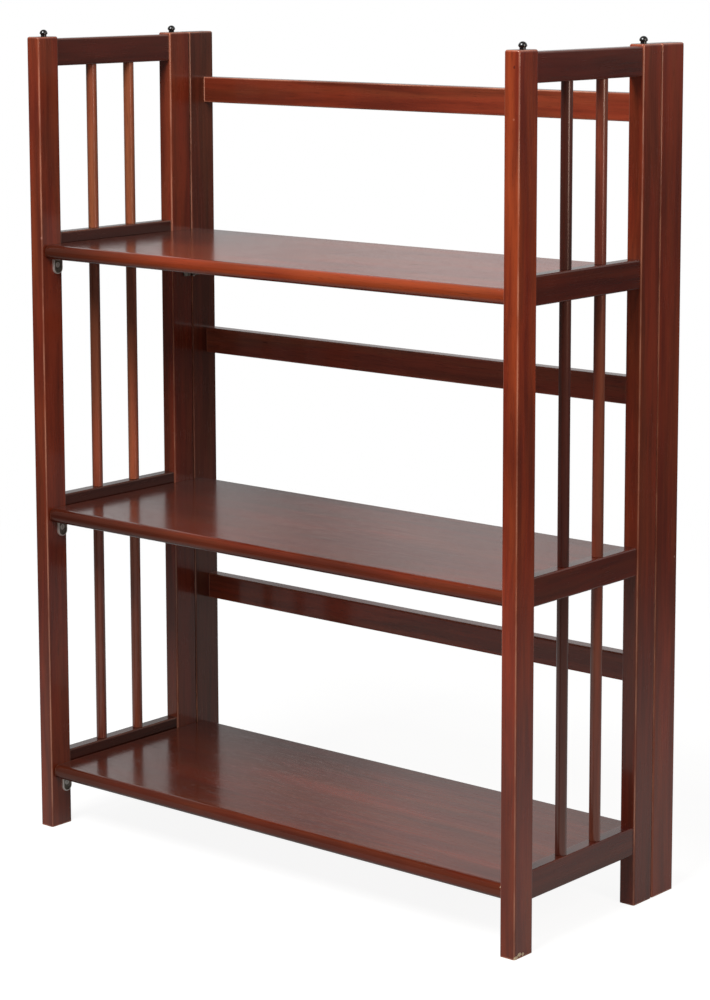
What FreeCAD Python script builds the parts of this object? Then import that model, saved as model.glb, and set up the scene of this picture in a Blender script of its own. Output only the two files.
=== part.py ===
"""Folding bookcase: two side frames hinged to a back frame, with three shelves that swing up.

Each side frame is a front and a rear post, four rails and two spindles in every bay. The back
frame is two posts and three flat rails. A shelf turns on pins in the back posts and rests in
front on metal brackets. Millimetres; +Z up, +X to the right seen from the front, front at -Y.
The origin is on the floor, under the middle of the bookcase.

The right-hand pieces are built and the left-hand ones are their mirror images.
"""
import FreeCAD, Part
import os
import re

import Sketcher

# ---------------------------------------------------------------------------------------------
# Driving dimensions. Each one is a cell of the sheet, under the same name.
# ---------------------------------------------------------------------------------------------
SIZES = {
    # Posts
    "overall_width": 710.0,
    "post_height": 940.0,
    "post_thickness": 19.5,
    "front_post_depth": 32.0,
    "side_opening": 185.0,
    "rear_post_depth": 34.0,
    "frame_gap": 0.5,
    "back_post_depth": 41.5,
    "post_edge_radius": 2.5,
    # Rails of the side frames
    "leg_height": 57.0,
    "rail_pitch": 312.0,
    "rail_height": 31.5,
    "rail_thickness": 16.0,
    "rail_edge_radius": 2.0,
    "top_rail_drop": 2.5,
    # Rails of the back frame
    "back_rail_height": 31.0,
    "back_rail_thickness": 16.5,
    "back_rail_inset": 0.5,
    "back_rail_rise": 156.0,
    "upper_back_rail_drop": 55.5,
    # Spindles
    "spindle_radius": 6.25,
    "spindle_tenon_radius": 4.5,
    "spindle_tenon_length": 10.0,
    # Glued joints
    "glue_clearance": 0.05,
    "glue_space": 0.3,
    "dowel_radius": 4.0,
    "dowel_length": 30.0,
    "dowel_seat": 9.0,
    "dowel_pitch": 15.0,
    "dowel_chamfer": 0.8,
    # Shelves
    "shelf_thickness": 16.5,
    "shelf_lift": 2.0,
    "shelf_setback": 4.0,
    "shelf_end_gap": 1.0,
    "shelf_nose_radius": 7.0,
    "shelf_edge_flat": 0.25,
    "fold_clearance": 1.0,
    # Shelf pivots
    "pivot_pin_radius": 2.5,
    "pivot_pin_seat": 12.0,
    "bush_length": 14.0,
    "bush_radius": 4.0,
    "bush_flange_radius": 5.5,
    "bush_flange_thickness": 0.7,
    "running_clearance": 0.05,
    # Stacking pegs and the sockets that take them
    "peg_shank_radius": 3.0,
    "peg_shank_length": 15.0,
    "peg_neck_radius": 3.9,
    "peg_neck_height": 2.4,
    "peg_flare_height": 0.6,
    "peg_head_radius": 4.6,
    "peg_head_height": 5.0,
    "peg_dome_radius": 3.0,
    "peg_dome_flat": 0.5,
    "front_peg_setback": 18.0,
    "rear_peg_setback": 13.0,
    "socket_radius": 5.0,
    "socket_depth": 10.0,
    # Butt hinges between the side frames and the back frame
    "plate_thickness": 1.5,
    "hinge_height": 38.0,
    "hinge_leaf_width": 16.0,
    "hinge_drop": 3.0,
    "hinge_corner_radius": 2.5,
    "hinge_screw_pitch": 22.0,
    "knuckle_radius": 2.5,
    "knuckle_gap": 0.2,
    "hinge_pin_radius": 1.3,
    "hinge_pin_tip": 0.8,
    # Shelf brackets
    "bracket_width": 14.0,
    "bracket_drop": 18.5,
    "bracket_rim_width": 1.4,
    "bracket_rim_height": 1.0,
    "bracket_rim_radius": 0.6,
    "bracket_foot": 12.0,
    "bracket_foot_radius": 3.0,
    "bracket_edge_flat": 0.3,
    "bracket_setback": 23.5,
    "bracket_screw_drop": 8.0,
    "rest_gap": 0.1,
    # Countersunk wood screws
    "screw_head_radius": 3.3,
    "screw_shank_radius": 1.7,
    "screw_length": 16.0,
    "screw_point_length": 3.0,
    "screw_point_radius": 0.3,
    "screw_clearance": 0.1,
    "recess_width": 0.9,
    "recess_length": 3.6,
    "recess_depth": 1.1,
}

# Places that follow from the sizes: x is measured from the middle, y from the middle of the
# depth and z from the floor.
PLACES = {
    "depth": "front_post_depth + side_opening + rear_post_depth + frame_gap + back_post_depth",
    "front_face": "-depth / 2",
    "opening_front": "front_face + front_post_depth",
    "opening_back": "opening_front + side_opening",
    "side_frame_back": "opening_back + rear_post_depth",
    "back_frame_front": "side_frame_back + frame_gap",
    "back_face": "depth / 2",
    "inner_face": "overall_width / 2 - post_thickness",
    "post_axis": "overall_width / 2 - post_thickness / 2",
    "top_rail_bottom": "post_height - top_rail_drop - rail_height",
    "shelf_front": "front_face + shelf_setback",
    "shelf_end": "inner_face - shelf_end_gap",
    "pivot_y": "back_frame_front + fold_clearance + shelf_thickness / 2",
    "shelf_back": "pivot_y + shelf_thickness / 2",
    "back_rail_front": "back_face - back_rail_inset - back_rail_thickness",
    "front_peg_y": "front_face + front_peg_setback",
    "rear_peg_y": "opening_back + rear_peg_setback",
    "hinge_y": "side_frame_back + frame_gap / 2",
    "leaf_start": "knuckle_radius + knuckle_gap",
    "knuckle_length": "(hinge_height - 2 * knuckle_gap) / 3",
    "bracket_y": "front_face + bracket_setback",
    "plate_face": "inner_face - plate_thickness",
    "bracket_round": "bracket_width / 2 - bracket_edge_flat",
    "screw_head_height": "screw_head_radius - screw_shank_radius",
}

# Shelves and bays from the floor up, the spindles of a bay from the front, and both ends of a row.
LEVELS = ("lower", "middle", "upper")
SPINDLES = ("front", "rear")
ENDS = (-1, 1)

doc = FreeCAD.newDocument("folding_bookcase")
sheet = doc.addObject("Spreadsheet::Sheet", "Sizes")
nodes = []


def formula(text):
    """Writes a formula of sizes and places as an expression on the sheet's cells."""

    def spelled_out(match):
        word = match.group(0)
        if word in PLACES:
            return f"({formula(PLACES[word])})"
        return f"{sheet.Name}.{word}" if word in SIZES else word

    return re.sub(r"[a-z][a-z_]*", spelled_out, text)


def fill_sheet():
    """Gives every driving dimension a row of the sheet: its name, and its value as an alias."""
    for row, (name, size) in enumerate(SIZES.items(), start=1):
        sheet.set(f"A{row}", name)
        sheet.set(f"B{row}", str(size))
        sheet.setAlias(f"B{row}", name)
    doc.recompute()


# ---------------------------------------------------------------------------------------------
# Heights of the levels
# ---------------------------------------------------------------------------------------------
def rail_bottom(level):
    """Underside of a side frame's rail at a shelf's level."""
    return f"(leg_height + {LEVELS.index(level)} * rail_pitch)"


def shelf_bottom(level):
    """Underside of a shelf."""
    return f"({rail_bottom(level)} + shelf_lift)"


def pivot_height(level):
    """Height of a shelf's pivot pins: the middle of its thickness."""
    return f"({shelf_bottom(level)} + shelf_thickness / 2)"


def back_rail_bottom(level):
    """Underside of the back rail over a shelf; the highest one hangs from the tops of the posts."""
    if level == "upper":
        return "(post_height - upper_back_rail_drop - back_rail_height)"
    return f"({shelf_bottom(level)} + shelf_thickness + back_rail_rise)"


def hinge_bottom(level):
    """Lower end of the butt hinge under a shelf."""
    return f"({shelf_bottom(level)} - hinge_drop - hinge_height)"


def spindle_y(name):
    """Place of a spindle in the depth: the spindles share the opening evenly."""
    return f"(opening_front + side_opening * {SPINDLES.index(name) + 1} / {len(SPINDLES) + 1})"


# ---------------------------------------------------------------------------------------------
# Building blocks
# ---------------------------------------------------------------------------------------------
AXES = {
    "x": FreeCAD.Rotation(FreeCAD.Vector(0, 1, 0), 90),
    "-x": FreeCAD.Rotation(FreeCAD.Vector(0, 1, 0), -90),
    "y": FreeCAD.Rotation(FreeCAD.Vector(1, 0, 0), -90),
    "-y": FreeCAD.Rotation(FreeCAD.Vector(1, 0, 0), 90),
    "z": FreeCAD.Rotation(),
}


def bind(thing, **formulas):
    """Binds properties of an object to formulas of the sizes."""
    for name, text in formulas.items():
        thing.setExpression(name, formula(text))


def place(thing, x, y, z, along="z"):
    """Puts an object's own origin at a point, with its own z axis along the named axis."""
    thing.Placement = FreeCAD.Placement(FreeCAD.Vector(), AXES[along])
    for letter, text in zip("xyz", (x, y, z)):
        thing.setExpression(f"Placement.Base.{letter}", formula(text))
    return thing


def kept(thing, label):
    """Names an object as a node of the finished bookcase."""
    thing.Label = label
    nodes.append(thing)
    return thing


def make(kind, label):
    """Adds an object to the document."""
    thing = doc.addObject(kind, label)
    thing.Label = label
    return thing


def block(label, x, y, z, length, width, height):
    """A box from its lowest corner."""
    box = make("Part::Box", label)
    bind(box, Length=length, Width=width, Height=height)
    return place(box, x, y, z)


def rod(label, radius, length, x, y, z, along="z"):
    """A cylinder from the middle of its first face."""
    cylinder = make("Part::Cylinder", label)
    bind(cylinder, Radius=radius, Height=length)
    return place(cylinder, x, y, z, along)


def group(label, pieces):
    """Several solids as one object."""
    compound = make("Part::Compound", label)
    compound.Links = pieces
    return compound


def fused(label, pieces):
    """Pieces joined into one solid."""
    union = make("Part::MultiFuse", label)
    union.Shapes = pieces
    union.Refine = True
    return union


def drilled(label, blank, tools):
    """A blank with its holes cut out."""
    cut = make("Part::Cut", label)
    cut.Base = blank
    cut.Tool = group(f"{label}_holes", tools)
    return cut


def mirrored(label, source):
    """The left-hand image of a right-hand piece."""
    image = make("Part::Mirroring", label)
    image.Source = source
    image.Normal = FreeCAD.Vector(1, 0, 0)
    return image


def copies(label, master, places):
    """One group of links to a master piece; each place is x, y, z and the axis it points along."""
    links = []
    for count, (x, y, z, along) in enumerate(places, start=1):
        link = make("App::Link", f"{label}_{count}")
        link.LinkedObject = master
        links.append(place(link, x, y, z, along))
    return links


def sketch_in(body, role):
    """A sketch on one of the body's own origin planes."""
    sketch = body.newObject("Sketcher::SketchObject", f"{body.Label}_sketch")
    plane = next(part for part in body.Origin.OriginFeatures if part.Role == role)
    sketch.AttachmentSupport = (plane, [""])
    sketch.MapMode = "FlatFace"
    return sketch


def draw_outline(sketch, corners):
    """Draws a closed outline; each corner is a pair of formulas, with 0 for a place on an axis.

    The lines are first drawn along a curve, clear of each other, and the constraints then move
    each corner to its place. Sketcher numbers the ends of a line 1 and 2, the sketch's axes -1
    and -2, and its origin is the start of -1.
    """
    start_point, end_point = 1, 2
    h_axis, v_axis = -1, -2
    drawn = [FreeCAD.Vector(step, step * step, 0) for step in range(1, len(corners) + 2)]
    for start, end in zip(drawn, drawn[1:]):
        sketch.addGeometry(Part.LineSegment(start, end), False)
    for side in range(len(corners)):
        following = (side + 1) % len(corners)
        sketch.addConstraint(Sketcher.Constraint("Coincident", side, end_point, following, start_point))
    for side, corner in enumerate(corners):
        for letter, axis, text in zip("XY", (v_axis, h_axis), corner):
            if text == "0":
                sketch.addConstraint(Sketcher.Constraint("PointOnObject", side, start_point, axis))
                continue
            ends = (h_axis, start_point, side, start_point)
            distance = Sketcher.Constraint(f"Distance{letter}", *ends, drawn[side].x)
            name = f"{letter.lower()}_{side}"
            sketch.renameConstraint(sketch.addConstraint(distance), name)
            sketch.setExpression(f"Constraints.{name}", formula(text))


def ease(body, feature, chosen, radius, label):
    """Rounds the chosen edges of a body's last feature."""
    doc.recompute([body, feature])
    box = feature.Shape.BoundBox
    names = [f"Edge{i}" for i, edge in enumerate(feature.Shape.Edges, start=1) if chosen(edge.BoundBox, box)]
    fillet = body.newObject("PartDesign::Fillet", label)
    fillet.Base = (feature, names)
    bind(fillet, Radius=radius)
    doc.recompute([fillet])
    return fillet


def bar(label, plane, width, height, length, easings):
    """A bar of rectangular section, padded from its plane, with the named edges rounded."""
    body = make("PartDesign::Body", label)
    sketch = sketch_in(body, plane)
    draw_outline(sketch, [("0", "0"), (width, "0"), (width, height), ("0", height)])
    feature = body.newObject("PartDesign::Pad", f"{label}_pad")
    feature.Profile = sketch
    feature.Reversed = plane == "XZ_Plane"
    bind(feature, Length=length)
    doc.recompute([sketch, feature])
    for count, (chosen, radius) in enumerate(easings, start=1):
        feature = ease(body, feature, chosen, radius, f"{label}_fillet_{count}")
    return body


def turned(label, corners):
    """A piece turned about its own z axis; each corner is a radius and a height."""
    body = make("PartDesign::Body", label)
    sketch = sketch_in(body, "XZ_Plane")
    draw_outline(sketch, corners)
    turn = body.newObject("PartDesign::Revolution", f"{label}_turn")
    turn.Profile = sketch
    turn.ReferenceAxis = (sketch, ["V_Axis"])
    turn.Angle = 360
    doc.recompute([sketch, turn])
    return body


# Tests that choose edges by their box and the box of the whole piece.
NEAR = 0.001


def not_underneath(edge, whole):
    """Every edge but the ones round the foot."""
    return edge.ZMax > whole.ZMin + NEAR


def runs(letter):
    """Edges that run along an axis."""
    return lambda edge, whole: getattr(edge, f"{letter}Length") > getattr(whole, f"{letter}Length") / 2


def lower_edges(edge, whole):
    """The two lowest edges through a plate's thickness."""
    return runs("X")(edge, whole) and edge.ZMax < whole.ZMin + NEAR


def front_edges(edge, whole):
    """The edges along x at the front of a shelf or plate."""
    return runs("X")(edge, whole) and edge.YMax < whole.YMin + NEAR


def back_edges(edge, whole):
    """The edges along x at the back of a shelf or plate."""
    return runs("X")(edge, whole) and edge.YMin > whole.YMax - NEAR


def inner_rim_edges(edge, whole):
    """The edges of a bracket's rim on the side that faces away from the post."""
    return edge.XMax < whole.XMin + NEAR


def inward_corner_edges(edge, whole):
    """The two upright edges at the end of a bracket's foot."""
    return runs("Z")(edge, whole) and edge.XMax < whole.XMin + NEAR


# ---------------------------------------------------------------------------------------------
# Fasteners, each drawn once at the origin and then placed as links
# ---------------------------------------------------------------------------------------------
def screw_master():
    """Countersunk screw with a cross recess; its head is flush with z 0 and it points along +z."""
    turned_screw = turned("screw_turned", [
        ("0", "0"),
        ("screw_head_radius", "0"),
        ("screw_shank_radius", "screw_head_height"),
        ("screw_shank_radius", "screw_length - screw_point_length"),
        ("screw_point_radius", "screw_length"),
        ("0", "screw_length"),
    ])
    arms = [
        block("recess_arm_x", "-recess_length / 2", "-recess_width / 2", "0",
              "recess_length", "recess_width", "recess_depth"),
        block("recess_arm_y", "-recess_width / 2", "-recess_length / 2", "0",
              "recess_width", "recess_length", "recess_depth"),
    ]
    screw = make("Part::Cut", "screw_master")
    screw.Base = turned_screw
    screw.Tool = fused("screw_recess", arms)
    return screw


def screw_hole_master():
    """The room a screw takes in metal and wood."""
    return turned("screw_hole_master", [
        ("0", "0"),
        ("screw_head_radius + screw_clearance", "0"),
        ("screw_shank_radius + screw_clearance", "screw_head_height"),
        ("screw_shank_radius + screw_clearance", "screw_length + glue_space"),
        ("0", "screw_length + glue_space"),
    ])


def dowel_master():
    """Wooden dowel with chamfered ends, from z 0 up."""
    return turned("dowel_master", [
        ("0", "0"),
        ("dowel_radius - dowel_chamfer", "0"),
        ("dowel_radius", "dowel_chamfer"),
        ("dowel_radius", "dowel_length - dowel_chamfer"),
        ("dowel_radius - dowel_chamfer", "dowel_length"),
        ("0", "dowel_length"),
    ])


def dowel_hole_master():
    """The hole for one dowel in both pieces of a joint, from its blind end in the post."""
    return turned("dowel_hole_master", [
        ("0", "0"),
        ("dowel_radius + glue_clearance", "0"),
        ("dowel_radius + glue_clearance", "dowel_length + 2 * glue_space"),
        ("0", "dowel_length + 2 * glue_space"),
    ])


def bracket_screw_places(level):
    """The screw of a right-hand shelf bracket."""
    return [("plate_face", "bracket_y", f"{shelf_bottom(level)} - bracket_screw_drop", "x")]


def leaf_screw_places(level, toward):
    """The two screws of a hinge leaf; toward is -1 for the side frame's leaf and 1 for the back one."""
    y = f"hinge_y + {toward} * (leaf_start + hinge_leaf_width) / 2"
    middle = f"{hinge_bottom(level)} + hinge_height / 2"
    return [("plate_face", y, f"{middle} + {end} * hinge_screw_pitch / 2", "x") for end in ENDS]


def dowel_heights(bottom, height):
    """Heights of the two dowels in the end of a rail."""
    return [f"{bottom} + {height} / 2 + {end} * dowel_pitch / 2" for end in ENDS]


def front_dowel_places(bottom, extra="0"):
    """Dowels between the front post and a rail, from their blind ends in the post."""
    y = f"opening_front - dowel_seat - {extra}"
    return [("post_axis", y, z, "y") for z in dowel_heights(bottom, "rail_height")]


def rear_dowel_places(bottom, extra="0"):
    """Dowels between the rear post and a rail, from their blind ends in the post."""
    y = f"opening_back + dowel_seat + {extra}"
    return [("post_axis", y, z, "-y") for z in dowel_heights(bottom, "rail_height")]


def back_dowel_places(level, extra="0"):
    """Dowels between the right back post and a back rail, from their blind ends in the post."""
    x = f"inner_face + dowel_seat + {extra}"
    y = "back_rail_front + back_rail_thickness / 2"
    return [(x, y, z, "-x") for z in dowel_heights(back_rail_bottom(level), "back_rail_height")]


# ---------------------------------------------------------------------------------------------
# Side frame
# ---------------------------------------------------------------------------------------------
RAIL_BOTTOMS = {level: rail_bottom(level) for level in LEVELS} | {"top": "top_rail_bottom"}


def post_blank(label, front, depth):
    """A post standing on the floor, eased on every edge but those of its foot."""
    body = bar(f"{label}_blank", "XY_Plane", "post_thickness", depth, "post_height",
               [(not_underneath, "post_edge_radius")])
    return place(body, "inner_face", front, "0")


def peg_holes(label, y):
    """The hole for a stacking peg in a post's top, and the socket for another's in its foot."""
    hole_depth = "peg_shank_length + glue_space"
    return [
        rod(f"{label}_peg_hole", "peg_shank_radius + glue_clearance", hole_depth,
            "post_axis", y, f"post_height - ({hole_depth})"),
        rod(f"{label}_socket", "socket_radius", "socket_depth", "post_axis", y, "0"),
    ]


def side_frame_posts(screw_hole, dowel_hole):
    """The front post carries the shelf brackets, and the rear post the hinges."""
    label = "front_post_right"
    tools = peg_holes(label, "front_peg_y")
    for name, bottom in RAIL_BOTTOMS.items():
        tools += copies(f"{label}_dowel_hole_{name}", dowel_hole, front_dowel_places(bottom, "glue_space"))
    for level in LEVELS:
        tools += copies(f"{label}_screw_hole_{level}", screw_hole, bracket_screw_places(level))
    front = kept(drilled(label, post_blank(label, "front_face", "front_post_depth"), tools), label)

    label = "rear_post_right"
    tools = peg_holes(label, "rear_peg_y")
    for name, bottom in RAIL_BOTTOMS.items():
        tools += copies(f"{label}_dowel_hole_{name}", dowel_hole, rear_dowel_places(bottom, "glue_space"))
    for level in LEVELS:
        tools += copies(f"{label}_screw_hole_{level}", screw_hole, leaf_screw_places(level, -1))
    rear = kept(drilled(label, post_blank(label, "opening_back", "rear_post_depth"), tools), label)
    return [front, rear]


def spindle_mortises(label, z):
    """Holes for the turned ends of a row of spindles, from their lower ends."""
    return [
        rod(f"{label}_{name}", "spindle_tenon_radius + glue_clearance", "spindle_tenon_length + glue_space",
            "post_axis", spindle_y(name), z)
        for name in SPINDLES
    ]


def side_rails(dowel_hole):
    """Four rails between the posts; spindles are let into the faces that look into a bay."""
    rails = []
    for name, bottom in RAIL_BOTTOMS.items():
        label = f"{name}_rail_right"
        blank = bar(f"{label}_blank", "XZ_Plane", "rail_thickness", "rail_height", "side_opening",
                    [(runs("Y"), "rail_edge_radius")])
        place(blank, "post_axis - rail_thickness / 2", "opening_front", bottom)
        tools = copies(f"{label}_front_hole", dowel_hole, front_dowel_places(bottom, "glue_space"))
        tools += copies(f"{label}_rear_hole", dowel_hole, rear_dowel_places(bottom, "glue_space"))
        if name != "top":
            top_of_hole = f"{bottom} + rail_height"
            tools += spindle_mortises(f"{label}_upper_mortise",
                                      f"{top_of_hole} - spindle_tenon_length - glue_space")
        if name != "lower":
            tools += spindle_mortises(f"{label}_lower_mortise", bottom)
        rails.append(kept(drilled(label, blank, tools), label))
    return rails


def spindles():
    """Round spindles with turned ends, in every bay of the side frame."""
    bays = {"lower": ("lower", "middle"), "middle": ("middle", "upper"), "upper": ("upper", "top")}
    made = []
    for bay, (below, above) in bays.items():
        floor = f"({RAIL_BOTTOMS[below]} + rail_height)"
        shoulder = f"(spindle_tenon_length + {RAIL_BOTTOMS[above]} - {floor})"
        for name in SPINDLES:
            label = f"spindle_{bay}_{name}_right"
            spindle = turned(label, [
                ("0", "0"),
                ("spindle_tenon_radius", "0"),
                ("spindle_tenon_radius", "spindle_tenon_length"),
                ("spindle_radius", "spindle_tenon_length"),
                ("spindle_radius", shoulder),
                ("spindle_tenon_radius", shoulder),
                ("spindle_tenon_radius", f"{shoulder} + spindle_tenon_length"),
                ("0", f"{shoulder} + spindle_tenon_length"),
            ])
            place(spindle, "post_axis", spindle_y(name), f"{floor} - spindle_tenon_length")
            made.append(kept(spindle, label))
    return made


def at_top(edge, whole):
    """Edges round the top of a turned piece."""
    return edge.ZMin > whole.ZMax - NEAR


def stacking_pegs():
    """Pegs with a rounded head, whose shanks are glued into the tops of the posts."""
    neck = "(peg_shank_length + peg_neck_height)"
    head = f"({neck} + peg_flare_height)"
    dome = "min(peg_dome_radius; peg_head_radius - peg_dome_flat; peg_head_height - peg_dome_flat)"
    made = []
    for name, y in {"front": "front_peg_y", "rear": "rear_peg_y"}.items():
        label = f"stacking_peg_{name}_right"
        peg = turned(label, [
            ("0", "0"),
            ("peg_shank_radius", "0"),
            ("peg_shank_radius", "peg_shank_length"),
            ("peg_neck_radius", "peg_shank_length"),
            ("peg_neck_radius", neck),
            ("peg_head_radius", head),
            ("peg_head_radius", f"{head} + peg_head_height"),
            ("0", f"{head} + peg_head_height"),
        ])
        ease(peg, peg.Tip, at_top, dome, f"{label}_dome")
        place(peg, "post_axis", y, "post_height - peg_shank_length")
        made.append(kept(peg, label))
    return made


# ---------------------------------------------------------------------------------------------
# Back frame
# ---------------------------------------------------------------------------------------------
def back_post(screw_hole, dowel_hole):
    """The right back post, with its holes for back rails, shelf pivots and hinge screws."""
    label = "back_post_right"
    tools = []
    for level in LEVELS:
        tools += copies(f"{label}_dowel_hole_{level}", dowel_hole, back_dowel_places(level, "glue_space"))
        tools += copies(f"{label}_screw_hole_{level}", screw_hole, leaf_screw_places(level, 1))
        tools.append(rod(f"{label}_pivot_hole_{level}", "pivot_pin_radius + glue_clearance",
                         "pivot_pin_seat + glue_space", "inner_face", "pivot_y", pivot_height(level), "x"))
    return kept(drilled(label, post_blank(label, "back_frame_front", "back_post_depth"), tools), label)


def back_rails(dowel_hole):
    """Flat rails between the back posts, set in the rear part of their depth."""
    for level in LEVELS:
        label = f"back_rail_{level}"
        blank = bar(f"{label}_blank", "YZ_Plane", "back_rail_thickness", "back_rail_height",
                    "2 * inner_face", [(runs("X"), "rail_edge_radius")])
        place(blank, "-inner_face", "back_rail_front", back_rail_bottom(level))
        holes = copies(f"{label}_hole", dowel_hole, back_dowel_places(level, "glue_space"))
        right_holes = group(f"{label}_right_holes", holes)
        left_holes = mirrored(f"{label}_left_holes", right_holes)
        kept(drilled(label, blank, [right_holes, left_holes]), label)


# ---------------------------------------------------------------------------------------------
# Hinges
# ---------------------------------------------------------------------------------------------
def hinge_leaf(label, level, toward, knuckles, screw_hole):
    """One leaf of a butt hinge on the posts' inner faces.

    toward is -1 for the leaf on the side frame and 1 for the one on the back frame; knuckles are
    the thirds of the hinge's height that belong to this leaf.
    """
    bottom = hinge_bottom(level)
    plate_y = "hinge_y - hinge_leaf_width" if toward < 0 else "hinge_y + leaf_start"
    corners = front_edges if toward < 0 else back_edges
    plate = bar(f"{label}_plate", "YZ_Plane", "hinge_leaf_width - leaf_start", "hinge_height",
                "plate_thickness", [(corners, "hinge_corner_radius")])
    pieces = [place(plate, "plate_face", plate_y, bottom)]
    for third in knuckles:
        z = f"{bottom} + {third} * (knuckle_length + knuckle_gap)"
        neck_y = "hinge_y - leaf_start" if toward < 0 else "hinge_y"
        pieces.append(block(f"{label}_neck_{third}", "plate_face", neck_y, z,
                            "plate_thickness", "leaf_start", "knuckle_length"))
        pieces.append(rod(f"{label}_knuckle_{third}", "knuckle_radius", "knuckle_length",
                          "inner_face - knuckle_radius", "hinge_y", z))
    tools = copies(f"{label}_screw_hole", screw_hole, leaf_screw_places(level, toward))
    tools.append(rod(f"{label}_pin_hole", "hinge_pin_radius + running_clearance", "hinge_height",
                     "inner_face - knuckle_radius", "hinge_y", bottom))
    return kept(drilled(label, fused(f"{label}_blank", pieces), tools), label)


def hinges(screw_hole):
    """A butt hinge under each shelf, between the rear post and the back post."""
    leaves, pins = [], []
    for level in LEVELS:
        leaves.append(hinge_leaf(f"hinge_{level}_side_leaf_right", level, -1, (0, 2), screw_hole))
        leaves.append(hinge_leaf(f"hinge_{level}_back_leaf_right", level, 1, (1,), screw_hole))
        pins.append(rod(f"hinge_pin_{level}", "hinge_pin_radius", "hinge_height + 2 * hinge_pin_tip",
                        "inner_face - knuckle_radius", "hinge_y", f"{hinge_bottom(level)} - hinge_pin_tip"))
    return leaves, pins


# ---------------------------------------------------------------------------------------------
# Shelves, their pivots and brackets
# ---------------------------------------------------------------------------------------------
def shelf(level):
    """A shelf with a rounded nose and a back edge that is round about its pivot."""
    label = f"shelf_{level}"
    blank = bar(f"{label}_blank", "YZ_Plane", "shelf_back - shelf_front", "shelf_thickness", "2 * shelf_end",
                [(front_edges, "min(shelf_nose_radius; shelf_thickness / 2 - shelf_edge_flat)"),
                 (back_edges, "shelf_thickness / 2 - shelf_edge_flat")])
    place(blank, "-shelf_end", "shelf_front", shelf_bottom(level))
    right_hole = rod(f"{label}_bush_hole", "bush_radius + glue_clearance", "bush_length + glue_space",
                     "shelf_end", "pivot_y", pivot_height(level), "-x")
    return kept(drilled(label, blank, [right_hole, mirrored(f"{label}_left_bush_hole", right_hole)]), label)


def pivot_bushes(level):
    """Flanged bushes pressed into the ends of a shelf; the flange spaces it off the post."""
    label = f"pivot_bushes_{level}"
    z = pivot_height(level)
    barrel = rod(f"{label}_barrel", "bush_radius", "bush_length", "shelf_end - bush_length", "pivot_y", z, "x")
    flange = rod(f"{label}_flange", "bush_flange_radius", "bush_flange_thickness", "shelf_end", "pivot_y", z, "x")
    bore = rod(f"{label}_bore", "pivot_pin_radius + running_clearance", "bush_length + bush_flange_thickness",
               "shelf_end - bush_length", "pivot_y", z, "x")
    right = drilled(f"{label}_right", fused(f"{label}_blank", [barrel, flange]), [bore])
    return kept(group(label, [right, mirrored(f"{label}_left", right)]), label)


def pivot_pin(level):
    """Steel pin from the back post into a shelf's right bush."""
    return rod(f"pivot_pin_{level}", "pivot_pin_radius", "pivot_pin_seat + shelf_end_gap + bush_length",
               "inner_face + pivot_pin_seat", "pivot_y", pivot_height(level), "-x")


def shelf_brackets(level, screw_hole):
    """Pressed steel angles on the front posts: a rounded plate in a raised rim, and a foot."""
    label = f"shelf_brackets_{level}"
    top = f"({shelf_bottom(level)} - rest_gap)"
    bottom = f"({top} - bracket_drop)"
    edge_y = "bracket_y - bracket_width / 2"
    outer = bar(f"{label}_outer", "YZ_Plane", "bracket_width", "bracket_drop",
                "plate_thickness + bracket_rim_height",
                [(lower_edges, "bracket_round"), (inner_rim_edges, "bracket_rim_radius")])
    place(outer, "plate_face - bracket_rim_height", edge_y, bottom)
    hollow = bar(f"{label}_hollow", "YZ_Plane", "bracket_width - 2 * bracket_rim_width",
                 "bracket_drop - bracket_rim_width - plate_thickness", "bracket_rim_height",
                 [(lower_edges, "bracket_round - bracket_rim_width")])
    place(hollow, "plate_face - bracket_rim_height", f"{edge_y} + bracket_rim_width",
          f"{bottom} + bracket_rim_width")
    foot = bar(f"{label}_foot", "XY_Plane", "bracket_foot", "bracket_width", "plate_thickness",
               [(inward_corner_edges, "bracket_foot_radius")])
    place(foot, "inner_face - bracket_foot", edge_y, f"{top} - plate_thickness")
    tools = [hollow] + copies(f"{label}_screw_hole", screw_hole, bracket_screw_places(level))
    right = drilled(f"{label}_right", fused(f"{label}_blank", [outer, foot]), tools)
    return kept(group(label, [right, mirrored(f"{label}_left", right)]), label)


# ---------------------------------------------------------------------------------------------
# The whole bookcase
# ---------------------------------------------------------------------------------------------
def left_hand(pieces):
    """Mirrors right-hand nodes into left-hand ones."""
    for piece in pieces:
        label = piece.Label.replace("_right", "_left")
        kept(mirrored(label, piece), label)


def both_hands(label, pieces):
    """A node that holds right-hand solids and their mirror images."""
    right = group(f"{label}_right_hand", pieces)
    return kept(group(label, [right, mirrored(f"{label}_left_hand", right)]), label)


def fasteners():
    """Dowels and screws, each kind in one node."""
    dowel = dowel_master()
    dowels = []
    for name, bottom in RAIL_BOTTOMS.items():
        places = front_dowel_places(bottom) + rear_dowel_places(bottom)
        dowels += copies(f"dowel_{name}_rail", dowel, places)
    for level in LEVELS:
        dowels += copies(f"dowel_back_rail_{level}", dowel, back_dowel_places(level))
    both_hands("joint_dowels", dowels)

    screw = screw_master()
    screws = []
    for level in LEVELS:
        places = bracket_screw_places(level)
        places += leaf_screw_places(level, -1) + leaf_screw_places(level, 1)
        screws += copies(f"screw_{level}", screw, places)
    both_hands("wood_screws", screws)


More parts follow.
